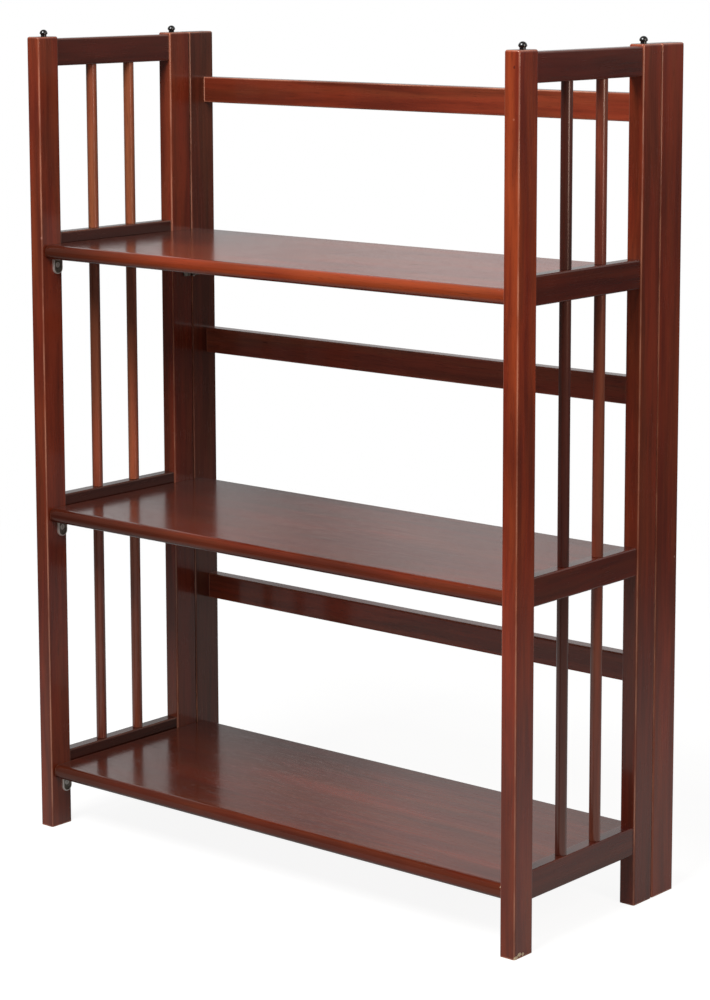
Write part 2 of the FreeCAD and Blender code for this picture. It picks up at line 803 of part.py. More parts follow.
def build():
    """Builds every node."""
    fill_sheet()
    screw_hole = screw_hole_master()
    dowel_hole = dowel_hole_master()
    right = side_frame_posts(screw_hole, dowel_hole) + side_rails(dowel_hole) + spindles() + stacking_pegs()
    right.append(back_post(screw_hole, dowel_hole))
    leaves, hinge_pins = hinges(screw_hole)
    left_hand(right + leaves)
    both_hands("hinge_pins", hinge_pins)
    back_rails(dowel_hole)
    for level in LEVELS:
        shelf(level)
        pivot_bushes(level)
        shelf_brackets(level, screw_hole)
    both_hands("pivot_pins", [pivot_pin(level) for level in LEVELS])
    fasteners()
    doc.recompute()


def check():
    """Stops if an object failed, or if a node's shape is missing or invalid."""
    for thing in doc.Objects:
        if "Invalid" in thing.State or "Error" in thing.State:
            raise RuntimeError(f"{thing.Label} failed: {thing.State}")
    labels = [node.Label for node in nodes]
    if len(labels) != len(set(labels)):
        raise RuntimeError("two nodes have one name")
    for node in nodes:
        if node.Shape.isNull() or not node.Shape.isValid() or not node.Shape.Solids:
            raise RuntimeError(f"{node.Label} has no valid solid")


def export():
    """Writes each node to its own file."""
    os.makedirs("parts", exist_ok=True)
    for node in nodes:
        node.Shape.exportStep(f"parts/{node.Label}.step")
    print(f"{len(nodes)} nodes, {sum(len(node.Shape.Solids) for node in nodes)} solids")


build()
check()
export()
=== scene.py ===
"""Looks of the folding bookcase: stained and lacquered wood, small metalwork, studio and camera.

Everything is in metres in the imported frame: +Z up, +X to the right seen from the front, front at -Y.
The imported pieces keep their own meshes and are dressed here. The turned pieces and the screws, which
repeat, are made again with Geometry Nodes.
"""

import logging
import math
from collections.abc import Iterable
from dataclasses import dataclass
from enum import Enum

import bmesh
import bpy
from mathutils import Euler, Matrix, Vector


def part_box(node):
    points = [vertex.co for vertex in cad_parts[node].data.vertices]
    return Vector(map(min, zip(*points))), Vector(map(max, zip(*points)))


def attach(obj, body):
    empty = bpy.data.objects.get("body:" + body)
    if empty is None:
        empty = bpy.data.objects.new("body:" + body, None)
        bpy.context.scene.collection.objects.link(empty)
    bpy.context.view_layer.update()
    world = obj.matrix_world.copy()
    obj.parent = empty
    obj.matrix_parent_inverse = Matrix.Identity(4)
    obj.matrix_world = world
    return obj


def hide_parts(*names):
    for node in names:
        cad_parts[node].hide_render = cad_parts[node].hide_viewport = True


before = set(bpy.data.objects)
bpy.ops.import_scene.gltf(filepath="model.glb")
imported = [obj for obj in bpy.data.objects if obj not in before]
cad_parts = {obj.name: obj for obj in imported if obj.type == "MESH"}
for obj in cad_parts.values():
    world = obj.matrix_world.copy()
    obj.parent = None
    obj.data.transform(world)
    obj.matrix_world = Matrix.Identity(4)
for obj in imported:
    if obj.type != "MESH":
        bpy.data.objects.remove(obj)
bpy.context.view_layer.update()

log = logging.getLogger("bookcase")

MM = 0.001
SMOOTH_ANGLE = math.radians(35)

Triple = tuple[float, float, float]
Colour = Triple
Box = tuple[Vector, Vector]
Socket = bpy.types.NodeSocket
Feed = Socket | float | int | bool | str | Triple | tuple[float, float, float, float]
Inputs = dict[str | int, Feed] | None
Outline = list[tuple[float, float]]
Material = bpy.types.Material


class Level(Enum):
    """The three shelves and bays, from the floor up."""

    LOWER = "lower"
    MIDDLE = "middle"
    UPPER = "upper"


class Side(Enum):
    """The two side frames; the value is the sign of x."""

    LEFT = -1
    RIGHT = 1

    @property
    def word(self) -> str:
        """The side as it stands in names."""
        return self.name.lower()


class Row(Enum):
    """The front and the rear post, spindle or peg of a side frame."""

    FRONT = "front"
    REAR = "rear"


class Grain(Enum):
    """Direction of the grain; the value turns that direction to +Z."""

    ALONG_X = (0.0, -math.pi / 2, 0.0)
    ALONG_Y = (math.pi / 2, 0.0, 0.0)
    ALONG_Z = (0.0, 0.0, 0.0)

    @property
    def axis(self) -> Triple:
        """Unit vector along the grain."""
        return tuple(float(letter == self.name[-1]) for letter in "XYZ")


class Kind(Enum):
    """Kinds of socket on a node group."""

    NUMBER = "NodeSocketFloat"
    COUNT = "NodeSocketInt"
    VECTOR = "NodeSocketVector"
    COLOUR = "NodeSocketColor"
    SHAPE = "NodeSocketGeometry"
    PIECE = "NodeSocketObject"
    FINISH = "NodeSocketMaterial"


Sockets = dict[Kind, Iterable[str]]


# ---- Node trees ----
class Graph:
    """A node tree with short ways to add and link nodes."""

    def __init__(self, tree: bpy.types.NodeTree) -> None:
        """Wraps a material's, a world's or a group's tree."""
        self.tree = tree

    @classmethod
    def group(cls, name: str, inputs: Sockets, outputs: Sockets, kind: str = "ShaderNodeTree") -> "Graph":
        """Starts a node group with named sockets.

        Args:
            name: the group's name.
            inputs: the names of its input sockets, by kind.
            outputs: the names of its output sockets, by kind.
            kind: the type of its tree.

        Returns:
            The graph of the new group; its ends are in `given` and `result`.
        """
        graph = cls(bpy.data.node_groups.new(name, kind))
        for direction, sockets in (("INPUT", inputs), ("OUTPUT", outputs)):
            for socket_kind, names in sockets.items():
                for socket in names:
                    graph.tree.interface.new_socket(name=socket, in_out=direction,
                                                    socket_type=socket_kind.value)
        graph.given = graph.add("NodeGroupInput").outputs
        graph.result = graph.add("NodeGroupOutput").inputs
        return graph

    def add(self, kind: str, inputs: Inputs = None, **settings: object) -> bpy.types.Node:
        """Adds a node.

        Args:
            kind: the node's type.
            inputs: what each input socket is fed.
            settings: the node's own properties.

        Returns:
            The new node.
        """
        node = self.tree.nodes.new(kind)
        for name, value in settings.items():
            setattr(node, name, value)
        for key, value in (inputs or {}).items():
            self.feed(node.inputs[key], value)
        return node

    def out(self, kind: str, inputs: Inputs = None, **settings: object) -> Socket:
        """Adds a node and gives its first output."""
        return self.add(kind, inputs, **settings).outputs[0]

    def feed(self, target: Socket, value: Feed) -> None:
        """Links a socket to an input, or sets the input's own value.

        Args:
            target: the input socket.
            value: an output socket or a constant.
        """
        if isinstance(value, bpy.types.NodeSocket):
            self.tree.links.new(value, target)
        else:
            target.default_value = value

    def use(self, group: "Graph", **values: Feed) -> bpy.types.bpy_prop_collection:
        """Places a shader group.

        Args:
            group: the group's graph.
            values: what its inputs are fed, by name.

        Returns:
            The group's outputs.
        """
        return self.add("ShaderNodeGroup", values, node_tree=group.tree).outputs

    def math(self, operation: str, *values: Feed, clamp: bool = False) -> Socket:
        """A sum, product or other operation on numbers."""
        return self.out("ShaderNodeMath", dict(enumerate(values)), operation=operation, use_clamp=clamp)

    def weigh(self, first: Feed, weight: Feed, second: Feed, other: Feed) -> Socket:
        """The sum of two numbers, each times its own weight."""
        return self.math("MULTIPLY_ADD", first, weight, self.math("MULTIPLY", second, other))

    def sway(self, value: Feed, spread: Feed, mean: Feed, clamp: bool = False) -> Socket:
        """A number that goes up and down about its mean as a value goes from 0 to 1."""
        return self.math("MULTIPLY_ADD", self.math("SUBTRACT", value, 0.5), spread, mean, clamp=clamp)

    def vector(self, operation: str, *values: Feed) -> Socket:
        """An operation on vectors that gives a vector."""
        return self.out("ShaderNodeVectorMath", dict(enumerate(values)), operation=operation)

    def measure(self, operation: str, *values: Feed) -> Socket:
        """An operation on vectors that gives a number."""
        return self.add("ShaderNodeVectorMath", dict(enumerate(values)), operation=operation).outputs["Value"]

    def split(self, value: Feed) -> tuple[Socket, Socket, Socket]:
        """The three components of a vector."""
        return tuple(self.add("ShaderNodeSeparateXYZ", {0: value}).outputs)

    def ramp(self, value: Feed, low: Feed, high: Feed, start: Feed = 0.0, end: Feed = 1.0) -> Socket:
        """A smooth step from start, where the value is low, to end, where it is high."""
        inputs = dict(enumerate((value, low, high, start, end)))
        return self.out("ShaderNodeMapRange", inputs, interpolation_type="SMOOTHSTEP")

    def noise(self, place: Feed, scale: Feed, detail: float = 2.0, roughness: float = 0.5) -> Socket:
        """Soft noise between 0 and 1; the scale is in waves per metre."""
        inputs = {"Vector": place, "Scale": scale, "Detail": detail, "Roughness": roughness}
        return self.out("ShaderNodeTexNoise", inputs)

    def blend(self, share: Feed, first: Feed, second: Feed, mode: str = "MIX") -> Socket:
        """Mixes two colours.

        Args:
            share: how much of the second colour shows.
            first: a colour.
            second: a colour.
            mode: how they mix.

        Returns:
            The mixed colour.
        """
        node = self.add("ShaderNodeMix", {0: share}, data_type="RGBA", blend_type=mode)
        colours = [socket for socket in node.inputs if socket.type == "RGBA"]
        self.feed(colours[0], first)
        self.feed(colours[1], second)
        return next(socket for socket in node.outputs if socket.type == "RGBA")


def opaque(colour: Colour) -> tuple[float, float, float, float]:
    """A colour with an alpha of one."""
    return (*colour, 1.0)


@dataclass(frozen=True)
class Pattern:
    """Noise that is stretched along the grain.

    Args:
        scale: waves per metre across the grain.
        along: scale along the grain, as a share of that.
        detail: how much finer noise lies on it.
        low: value of the noise where the pattern starts.
        high: value where it is full.
    """

    scale: float
    along: float
    detail: float
    low: float
    high: float


class Effects:
    """Shader node groups that several finishes share."""

    FIGURE = {
        "Bands": Pattern(75.0, 0.05, 2.0, 0.32, 0.68),
        "Streaks": Pattern(340.0, 0.03, 4.0, 0.34, 0.68),
        "Pores": Pattern(1500.0, 0.025, 1.0, 0.60, 0.74),
        "Cloud": Pattern(13.0, 0.35, 3.0, 0.30, 0.70),
        "Tint": Pattern(42.0, 0.10, 2.0, 0.36, 0.64),
    }
    FINENESS = 0.6  # how strong the finer noise in each of these is
    DRIFT = (0.012, 0.012, 0.0)  # how far the grain wanders
    BAND_SHARE = 0.80  # of the bands in the figure
    STREAK_SHARE = 0.20
    MEAN_TONE = 0.55  # between the dark stain at 0 and the light one at 1
    CLOUD_SPREAD = 0.60
    BROWNER = (0.84, 1.16, 1.10)
    BROWNING = 0.8  # how much of that tint shows where it is full
    IN_PORES = (0.02, 0.006, 0.004)
    PORE_SHARE = 0.40  # how far that colour covers the stain
    PORE_HEIGHT = -0.6
    STREAK_HEIGHT = 0.4
    END_WIDTH = 0.3  # of the band at the grain's ends, as a share of the one along the edges
    RAGGED = 1.1  # how uneven a mark's rim is
    PATCH_SHARE = 0.7
    HAIR_SHARE = 0.3
    RIM_BLUR = 0.3  # half width of a rim's soft edge, as a share of the rim

    def __init__(self) -> None:
        """Builds every group once."""
        self.grain = self._grain()
        self.stain = self._stain()
        self.edges = self._edges()
        self.spot = self._spot()
        self.scuffs = self._scuffs()
        self.plating = self._plating()
        self.cup = self._cup()

    def _grain(self) -> Graph:
        """Wood whose grain runs along z: bands, narrow streaks, open pores, cloudy stain and drifts of hue.

        Returns:
            The group.
        """
        graph = Graph.group("wood_grain", {Kind.VECTOR: ["Position"]}, {Kind.NUMBER: self.FIGURE})
        place = graph.given["Position"]
        drift = graph.vector("MULTIPLY", graph.noise(place, 6.0, detail=1.0), self.DRIFT)
        shifted = graph.vector("ADD", place, drift)
        for name, pattern in self.FIGURE.items():
            stretched = graph.vector("MULTIPLY", shifted, (1.0, 1.0, pattern.along))
            noise = graph.noise(stretched, pattern.scale, pattern.detail, self.FINENESS)
            graph.feed(graph.result[name], graph.ramp(noise, pattern.low, pattern.high))
        return graph

    def _stain(self) -> Graph:
        """Colour of stained wood, and the height of its grain under the lacquer.

        Returns:
            The group.
        """
        graph = Graph.group("stain_tone",
                            {Kind.NUMBER: [*self.FIGURE, "Depth"], Kind.COLOUR: ["Light", "Dark"]},
                            {Kind.COLOUR: ["Color"], Kind.NUMBER: ["Height"]})
        given = graph.given
        figure = graph.weigh(given["Bands"], self.BAND_SHARE, given["Streaks"], self.STREAK_SHARE)
        tone = graph.sway(figure, given["Depth"], self.MEAN_TONE)
        clouded = graph.sway(given["Cloud"], self.CLOUD_SPREAD, tone, clamp=True)
        colour = graph.blend(clouded, given["Dark"], given["Light"])
        browner = graph.math("MULTIPLY", given["Tint"], self.BROWNING)
        colour = graph.blend(browner, colour, opaque(self.BROWNER), mode="MULTIPLY")
        covered = graph.math("MULTIPLY", given["Depth"], self.PORE_SHARE)
        pores = graph.math("MULTIPLY", given["Pores"], covered)
        graph.feed(graph.result["Color"], graph.blend(pores, colour, opaque(self.IN_PORES)))
        height = graph.weigh(given["Pores"], self.PORE_HEIGHT, given["Streaks"], self.STREAK_HEIGHT)
        graph.feed(graph.result["Height"], height)
        return graph

    def _edges(self) -> Graph:
        """Masks on a box: where its edges are rubbed and carry a painted highlight, and at the grain's two
        ends.

        Returns:
            The group.
        """
        graph = Graph.group("box_edges",
                            {Kind.VECTOR: ["Position", "Low", "High", "Along"], Kind.NUMBER: ["Width"]},
                            {Kind.NUMBER: ["Rubbed", "End"]})
        given = graph.given
        from_low = graph.vector("SUBTRACT", given["Position"], given["Low"])
        from_high = graph.vector("SUBTRACT", given["High"], given["Position"])
        nearest = graph.vector("MINIMUM", from_low, from_high)
        x, y, z = graph.split(nearest)
        smaller, larger = graph.math("MINIMUM", x, y), graph.math("MAXIMUM", x, y)
        second = graph.math("MAXIMUM", smaller, graph.math("MINIMUM", larger, z))
        mask = graph.ramp(second, 0.0, given["Width"], 1.0, 0.0)
        patches = graph.ramp(graph.noise(given["Position"], 14.0, detail=4.0), 0.38, 0.60, 0.35, 1.0)
        graph.feed(graph.result["Rubbed"], graph.math("MULTIPLY", mask, patches))
        from_end = graph.measure("DOT_PRODUCT", nearest, given["Along"])
        end_width = graph.math("MULTIPLY", given["Width"], self.END_WIDTH)
        graph.feed(graph.result["End"], graph.ramp(from_end, 0.0, end_width, 1.0, 0.0))
        return graph

    def _spot(self) -> Graph:
        """A small mark with an uneven rim.

        Returns:
            The group.
        """
        graph = Graph.group("spot", {Kind.VECTOR: ["Position", "Centre", "Reach"]}, {Kind.NUMBER: ["Mark"]})
        given = graph.given
        offset = graph.vector("SUBTRACT", given["Position"], given["Centre"])
        distance = graph.measure("LENGTH", graph.vector("DIVIDE", offset, given["Reach"]))
        ragged = graph.sway(graph.noise(given["Position"], 900.0, detail=3.0), self.RAGGED, distance)
        graph.feed(graph.result["Mark"], graph.ramp(ragged, 0.75, 1.0, 1.0, 0.0))
        return graph

    def _scuffs(self) -> Graph:
        """Roughness of a handled surface: a mean value with soft patches and hairline streaks.

        Returns:
            The group.
        """
        graph = Graph.group("scuffs", {Kind.VECTOR: ["Position"], Kind.NUMBER: ["Mean", "Spread"]},
                            {Kind.NUMBER: ["Roughness"]})
        given = graph.given
        patches = graph.noise(given["Position"], 22.0, detail=4.0)
        hairs = graph.noise(graph.vector("MULTIPLY", given["Position"], (1.0, 1.0, 0.06)), 700.0)
        both = graph.weigh(patches, self.PATCH_SHARE, hairs, self.HAIR_SHARE)
        graph.feed(graph.result["Roughness"], graph.sway(both, given["Spread"], given["Mean"], clamp=True))
        return graph

    def _plating(self) -> Graph:
        """Dull plated or moulded surface: mottled tone, and the height of its fine pits.

        Returns:
            The group.
        """
        graph = Graph.group("plating", {Kind.VECTOR: ["Position"], Kind.COLOUR: ["Light", "Dark"]},
                            {Kind.COLOUR: ["Color"], Kind.NUMBER: ["Height"]})
        given = graph.given
        mottle = graph.ramp(graph.noise(given["Position"], 260.0, detail=4.0), 0.35, 0.65)
        graph.feed(graph.result["Color"], graph.blend(mottle, given["Dark"], given["Light"]))
        graph.feed(graph.result["Height"], graph.noise(given["Position"], 2200.0, detail=2.0))
        return graph

    def _cup(self) -> Graph:
        """A mask that is one on the rim of an upright plate with a round lower end, where a highlight is
        painted.

        Returns:
            The group.
        """
        graph = Graph.group("cup_rim", {Kind.VECTOR: ["Position", "Centre"], Kind.NUMBER: ["Radius", "Rim"]},
                            {Kind.NUMBER: ["Rim"]})
        given = graph.given
        _, across, up = graph.split(graph.vector("SUBTRACT", given["Position"], given["Centre"]))
        down = graph.math("MINIMUM", up, 0.0)
        reach = graph.math("SQRT", graph.weigh(across, across, down, down))
        inner = graph.math("SUBTRACT", given["Radius"], given["Rim"])
        soft = graph.math("MULTIPLY", given["Rim"], self.RIM_BLUR)
        mask = graph.ramp(reach, graph.math("SUBTRACT", inner, soft), graph.math("ADD", inner, soft))
        graph.feed(graph.result["Rim"], mask)
        return graph


effects = Effects()


# ---- Finishes ----
COAT_IOR = 1.5
GRAIN_BUMP = 0.35
PIT_BUMP = 0.3


@dataclass(frozen=True)
class Spot:
    """A small mark on a wooden surface: a filled nail hole or a chip down to bare wood.

    Args:
        centre: its middle, in millimetres.
        reach: its half sizes along x, y and z, in millimetres.
        colour: the colour that shows.
    """

    centre: Triple
    reach: Triple
    colour: Colour


def new_surface(name: str) -> tuple[Material, Graph, bpy.types.Node, Socket]:
    """Starts a material.

    Args:
        name: the material's name.

    Returns:
        The material, its graph, its Principled shader and the object coordinates.
    """
    material = bpy.data.materials.new(name)
    material.use_nodes = True
    graph = Graph(material.node_tree)
    shader = next(node for node in graph.tree.nodes if node.type == "BSDF_PRINCIPLED")
    return material, graph, shader, graph.add("ShaderNodeTexCoord").outputs["Object"]


@dataclass(frozen=True)
class Lacquer:
    """Red-brown stain under clear gloss lacquer.

    Args:
        name: the finish's name.
        light: the stain where the wood took least of it, linear.
        dark: the stain where the wood took most of it, linear.
        depth: contrast of the grain.
        gloss: mean roughness of the lacquer's body.
        spread: how far that roughness varies.
        coat: weight of the polished top coat.
        coat_roughness: roughness of the top coat.
        sheen: how strongly the stained wood under the coat mirrors.
        undertone: tint of what the stained wood under the coat mirrors.
        rub: how far the edges go towards a pale tone, which is wear and a painted highlight along them.
        edge_width: width of the band along an edge.
        end_tone: how much darker the stain is on end grain, which drinks more of it.
        relief: depth of the grain that shows in the lacquer.
        settled: painted shade, how much darker the colour is towards the piece's low end along its grain.
        settled_reach: how far along the piece that painted shade reaches.
        upright: painted shade, how much darker the colour is where the piece doesn't face up.
        bare: colour of the rubbed edges, pale enough to serve also as a painted highlight.
        soaked: colour of wood full of stain, used on end grain and for the painted shade.
        stride: from where one piece is cut in the tree to where the next one is.
    """

    name: str
    light: Colour
    dark: Colour
    depth: float = 1.0
    gloss: float = 0.26
    spread: float = 0.16
    coat: float = 0.7
    coat_roughness: float = 0.10
    sheen: float = 0.5
    undertone: Colour = (1.0, 0.62, 0.50)
    rub: float = 0.85
    edge_width: float = 2.0 * MM
    end_tone: float = 0.75
    relief: float = 0.11 * MM
    settled: float = 0.0
    settled_reach: float = 350.0 * MM
    upright: float = 0.0
    bare: Colour = (0.92, 0.42, 0.27)
    soaked: Colour = (0.035, 0.008, 0.005)
    stride: Triple = (0.731, 1.377, 0.519)

    def material(self, piece: str, number: int, grain: Grain, box: Box,
                 spots: tuple[Spot, ...] = ()) -> Material:
        """Builds the finish for one piece.

        Args:
            piece: the piece's name.
            number: moves the pattern, so that no two pieces are cut from the same place in the tree.
            grain: direction of the grain.
            box: lowest and highest corner of the piece.
            spots: small marks on it.

        Returns:
            The material.
        """
        material, graph, shader, place = new_surface(f"{piece}_{self.name}")
        offset = tuple(step * number for step in self.stride)
        turned = graph.out("ShaderNodeMapping",
                           {"Vector": place, "Rotation": grain.value, "Location": offset})
        wood = graph.use(effects.grain, Position=turned)
        stain = graph.use(effects.stain, Light=opaque(self.light), Dark=opaque(self.dark), Depth=self.depth,
                          **{name: wood[name] for name in Effects.FIGURE})
        edges = graph.use(effects.edges, Position=place, Low=box[0], High=box[1], Along=grain.axis,
                          Width=self.edge_width)
        end = graph.math("MULTIPLY", edges["End"], self.end_tone)
        colour = graph.blend(end, stain["Color"], opaque(self.soaked))
        _, _, facing_up = graph.split(graph.add("ShaderNodeNewGeometry").outputs["Normal"])
        # Painted shade: darker towards the low end along the grain, and on faces that don't face up.
        from_foot = graph.measure("DOT_PRODUCT", graph.vector("SUBTRACT", place, box[0]), grain.axis)
        settled = graph.ramp(from_foot, 0.0, self.settled_reach, self.settled, 0.0)
        darker = graph.math("MAXIMUM", settled, graph.ramp(facing_up, 0.3, 0.95, self.upright, 0.0))
        colour = graph.blend(darker, colour, opaque(self.soaked))
        # Rubbed edges: wear, and a painted highlight along the arrises.
        colour = graph.blend(graph.math("MULTIPLY", edges["Rubbed"], self.rub), colour, opaque(self.bare))
        for spot in spots:
            centre, reach = (tuple(size * MM for size in sizes) for sizes in (spot.centre, spot.reach))
            mark = graph.use(effects.spot, Position=place, Centre=centre, Reach=reach)["Mark"]
            colour = graph.blend(mark, colour, opaque(spot.colour))
        rough = graph.use(effects.scuffs, Position=turned, Mean=self.gloss, Spread=self.spread)["Roughness"]
        bump = graph.out("ShaderNodeBump",
                         {"Height": stain["Height"], "Strength": GRAIN_BUMP, "Distance": self.relief})
        for name, value in {
            "Base Color": colour, "Roughness": rough, "Normal": bump, "Coat Weight": self.coat,
            "Coat Roughness": self.coat_roughness, "Coat IOR": COAT_IOR, "Specular IOR Level": self.sheen,
            "Specular Tint": opaque(self.undertone),
        }.items():
            graph.feed(shader.inputs[name], value)
        return material


@dataclass(frozen=True)
class Plate:
    """Plated metal or moulded plastic.

    Args:
        name: the finish's name.
        light: the paler of its two tones, linear.
        dark: the darker one.
        metallic: one for metal, zero for plastic.
        gloss: mean roughness.
        spread: how far the roughness varies.
        pits: depth of the fine surface texture.
        coat: weight of a polished top coat.
        rim: tone of the painted highlight on a plate's rim, where the piece has one.
    """

    name: str
    light: Colour
    dark: Colour
    metallic: float
    gloss: float
    spread: float = 0.2
    pits: float = 0.02 * MM
    coat: float = 0.0
    rim: Colour | None = None

    def material(self, piece: str = "", cup: tuple[Triple, float, float] | None = None) -> Material:
        """Builds the finish.

        Args:
            piece: the piece's name, where the finish is made for one piece.
            cup: centre of the round end, outer radius and width of the painted rim highlight of a rimmed
                plate.

        Returns:
            The material.
        """
        material, graph, shader, place = new_surface(f"{piece}_{self.name}" if piece else self.name)
        skin = graph.use(effects.plating, Position=place, Light=opaque(self.light), Dark=opaque(self.dark))
        rough = graph.use(effects.scuffs, Position=place, Mean=self.gloss, Spread=self.spread)["Roughness"]
        colour = skin["Color"]
        if cup:
            # Painted highlight on the rim over the darker plate.
            rim = graph.use(effects.cup, Position=place, Centre=cup[0], Radius=cup[1], Rim=cup[2])["Rim"]
            colour = graph.blend(rim, colour, opaque(self.rim))
        bump = graph.out("ShaderNodeBump",
                         {"Height": skin["Height"], "Strength": PIT_BUMP, "Distance": self.pits})
        for name, value in {
            "Base Color": colour, "Roughness": rough, "Normal": bump, "Metallic": self.metallic,
            "Coat Weight": self.coat,
        }.items():
            graph.feed(shader.inputs[name], value)
        return material


SPINDLE = {"gloss": 0.34, "coat": 1.0, "coat_roughness": 0.16, "sheen": 0.9, "rub": 0.0}
WARM_SPINDLE = SPINDLE | {"settled": 0.35}
GLOSSY_SPINDLE = SPINDLE | {"gloss": 0.30, "coat_roughness": 0.17, "sheen": 1.0}
SHELF_TOP = {"depth": 0.8, "gloss": 0.16, "spread": 0.08, "coat": 0.25, "rub": 0.1, "relief": 0.35 * MM}

# The right posts get lighter copies of the left posts' stains: painted light, as the light falls off to the
# left.
FRONT_STAINS = {
    Side.LEFT: Lacquer("front_stain", (0.315, 0.045, 0.017), (0.155, 0.020, 0.010), settled=0.20),
    Side.RIGHT: Lacquer("bright_front_stain", (0.50, 0.061, 0.018), (0.24, 0.026, 0.010),
                        settled=0.35, settled_reach=720 * MM),
}
REAR_STAINS = {
    Side.LEFT: Lacquer("rear_stain", (0.30, 0.044, 0.018), (0.16, 0.023, 0.011), settled=0.35),
    Side.RIGHT: Lacquer("bright_rear_stain", (0.40, 0.052, 0.018), (0.21, 0.026, 0.010),
                        settled=0.50, settled_reach=750 * MM),
}
# The left back post and the left frame's rails, seen from inside, get darker copies of the stains: painted
# shade.
BACK_POST_STAINS = {
    Side.LEFT: Lacquer("deep_back_post_stain", (0.20, 0.042, 0.022), (0.105, 0.023, 0.013)),
    Side.RIGHT: Lacquer("back_post_stain", (0.37, 0.048, 0.016), (0.195, 0.023, 0.009)),
}
TOP_RAIL_STAINS = {
    Side.LEFT: Lacquer("deep_top_rail_stain", (0.120, 0.018, 0.010), (0.060, 0.009, 0.006), rub=0.2),
    Side.RIGHT: Lacquer("top_rail_stain", (0.180, 0.020, 0.010), (0.090, 0.010, 0.006), coat=0.6, rub=0.1),
}
RAIL_STAINS = {
    Side.LEFT: Lacquer("deep_rail_stain", (0.070, 0.013, 0.008), (0.036, 0.007, 0.005), coat=0.3, rub=0.2),
    Side.RIGHT: Lacquer("rail_stain", (0.165, 0.021, 0.009), (0.088, 0.010, 0.006), coat=0.6, rub=0.0),
}
# The middle and lower back rails, in the shelves' shade, get paler copies of the upper rail's stain: painted
# light.
BACK_RAIL_STAINS = {
    Level.UPPER: Lacquer("back_rail_stain", (0.365, 0.055, 0.022), (0.195, 0.027, 0.012),
                         settled=0.40, settled_reach=650 * MM),
    Level.MIDDLE: Lacquer("faded_back_rail_stain", (0.62, 0.155, 0.088), (0.35, 0.090, 0.060)),
    Level.LOWER: Lacquer("worn_back_rail_stain", (0.52, 0.085, 0.036), (0.28, 0.040, 0.020)),
}
# Spindle stains are lit and shaded copies: the left frame's and each rear row's painted lighter, the right
# front row's painted darker.
PALE_SPINDLES = {
    Row.FRONT: Lacquer("pale_spindle_stain", (0.50, 0.125, 0.052), (0.30, 0.064, 0.027), **SPINDLE),
    Row.REAR: Lacquer("palest_spindle_stain", (0.58, 0.150, 0.060), (0.36, 0.078, 0.031), **SPINDLE),
}
WARM_SPINDLES = {
    Row.FRONT: Lacquer("warm_spindle_stain", (0.50, 0.112, 0.049), (0.29, 0.057, 0.026), **WARM_SPINDLE),
    Row.REAR: Lacquer("warmer_spindle_stain", (0.62, 0.146, 0.061), (0.37, 0.077, 0.033), **WARM_SPINDLE),
}
DEEP_SPINDLES = {
    Row.FRONT: Lacquer("deep_spindle_stain", (0.14, 0.022, 0.012), (0.06, 0.010, 0.006), **GLOSSY_SPINDLE),
    Row.REAR: Lacquer("russet_spindle_stain", (0.34, 0.065, 0.030), (0.17, 0.030, 0.015), **GLOSSY_SPINDLE),
}
# The upper shelf gets a lighter copy of the lower shelves' stain: painted light, as the lower ones lie in the
# shade of those above.
DEEP_SHELF = Lacquer("shelf_stain", (0.255, 0.036, 0.013), (0.14, 0.018, 0.0075), settled=0.70, upright=0.10,
                     **SHELF_TOP)
SHELF_STAINS = {
    Level.UPPER: Lacquer("bright_shelf_stain", (0.44, 0.063, 0.019), (0.26, 0.031, 0.010),
                         settled=0.86, settled_reach=270 * MM, **SHELF_TOP),
    Level.MIDDLE: DEEP_SHELF,
    Level.LOWER: DEEP_SHELF,
}
BEECH = Lacquer("plain_beech", (0.66, 0.46, 0.28), (0.50, 0.32, 0.18), depth=0.8, gloss=0.6, coat=0.0,
                rub=0.0, end_tone=0.0)
ZINC = Plate("bright_zinc", (0.95, 0.93, 0.88), (0.82, 0.79, 0.73), metallic=0.4, gloss=0.34)
# Bracket zinc: the plate is painted dark as shade, and its rim pale as a highlight.
CUP_ZINC = Plate("cup_zinc", (0.30, 0.27, 0.23), (0.17, 0.15, 0.12), metallic=0.8, gloss=0.50,
                 rim=(0.92, 0.86, 0.80))
# A darker zinc, used on the hinge leaves.
DARK_ZINC = Plate("aged_zinc", (0.30, 0.26, 0.22), (0.15, 0.12, 0.10), metallic=0.9, gloss=0.40)
PEG_PLASTIC = Plate("black_plastic", (0.010, 0.009, 0.008), (0.005, 0.005, 0.005), metallic=0.0,
                    gloss=0.12, spread=0.06, coat=1.0)
NYLON = Plate("natural_nylon", (0.78, 0.75, 0.68), (0.68, 0.65, 0.58), metallic=0.0, gloss=0.42,
              spread=0.1)

FILLER = (0.13, 0.018, 0.010)
WORN_FILLER = (0.46, 0.13, 0.07)
PALE_FILLER = (0.50, 0.22, 0.16)
BARE_WOOD = (0.95, 0.74, 0.48)
SPOTS = {
    "front_post_right": (
        Spot((348.5, -146.5, 923.0), (1.2, 1.0, 1.9), FILLER),
        Spot((348.0, -146.5, 871.0), (1.3, 1.0, 1.3), WORN_FILLER),
        Spot((354.8, -143.4, 1.8), (2.6, 3.6, 2.0), BARE_WOOD),
        Spot((355.0, -137.4, 3.8), (1.5, 3.6, 2.4), BARE_WOOD),
        Spot((355.0, -131.6, 3.0), (1.5, 2.2, 2.0), BARE_WOOD),
    ),
    "front_post_left": (Spot((-336.2, -146.2, 708.0), (1.2, 1.2, 2.0), PALE_FILLER),),
    "back_post_right": (Spot((355.0, 141.2, 379.3), (1.0, 1.3, 1.3), PALE_FILLER),),
    "shelf_lower": (Spot((333.0, -141.5, 74.0), (1.5, 2.5, 2.0), BARE_WOOD),),
}


# ---- Turned pieces and screws ----
def placed(name: str, data: bpy.types.ID) -> bpy.types.Object:
    """Puts a new object in the scene.

    Args:
        name: its name.
        data: its mesh, lamp or camera.

    Returns:
        The object.
    """
    item = bpy.data.objects.new(name, data)
    bpy.context.scene.collection.objects.link(item)
    return item


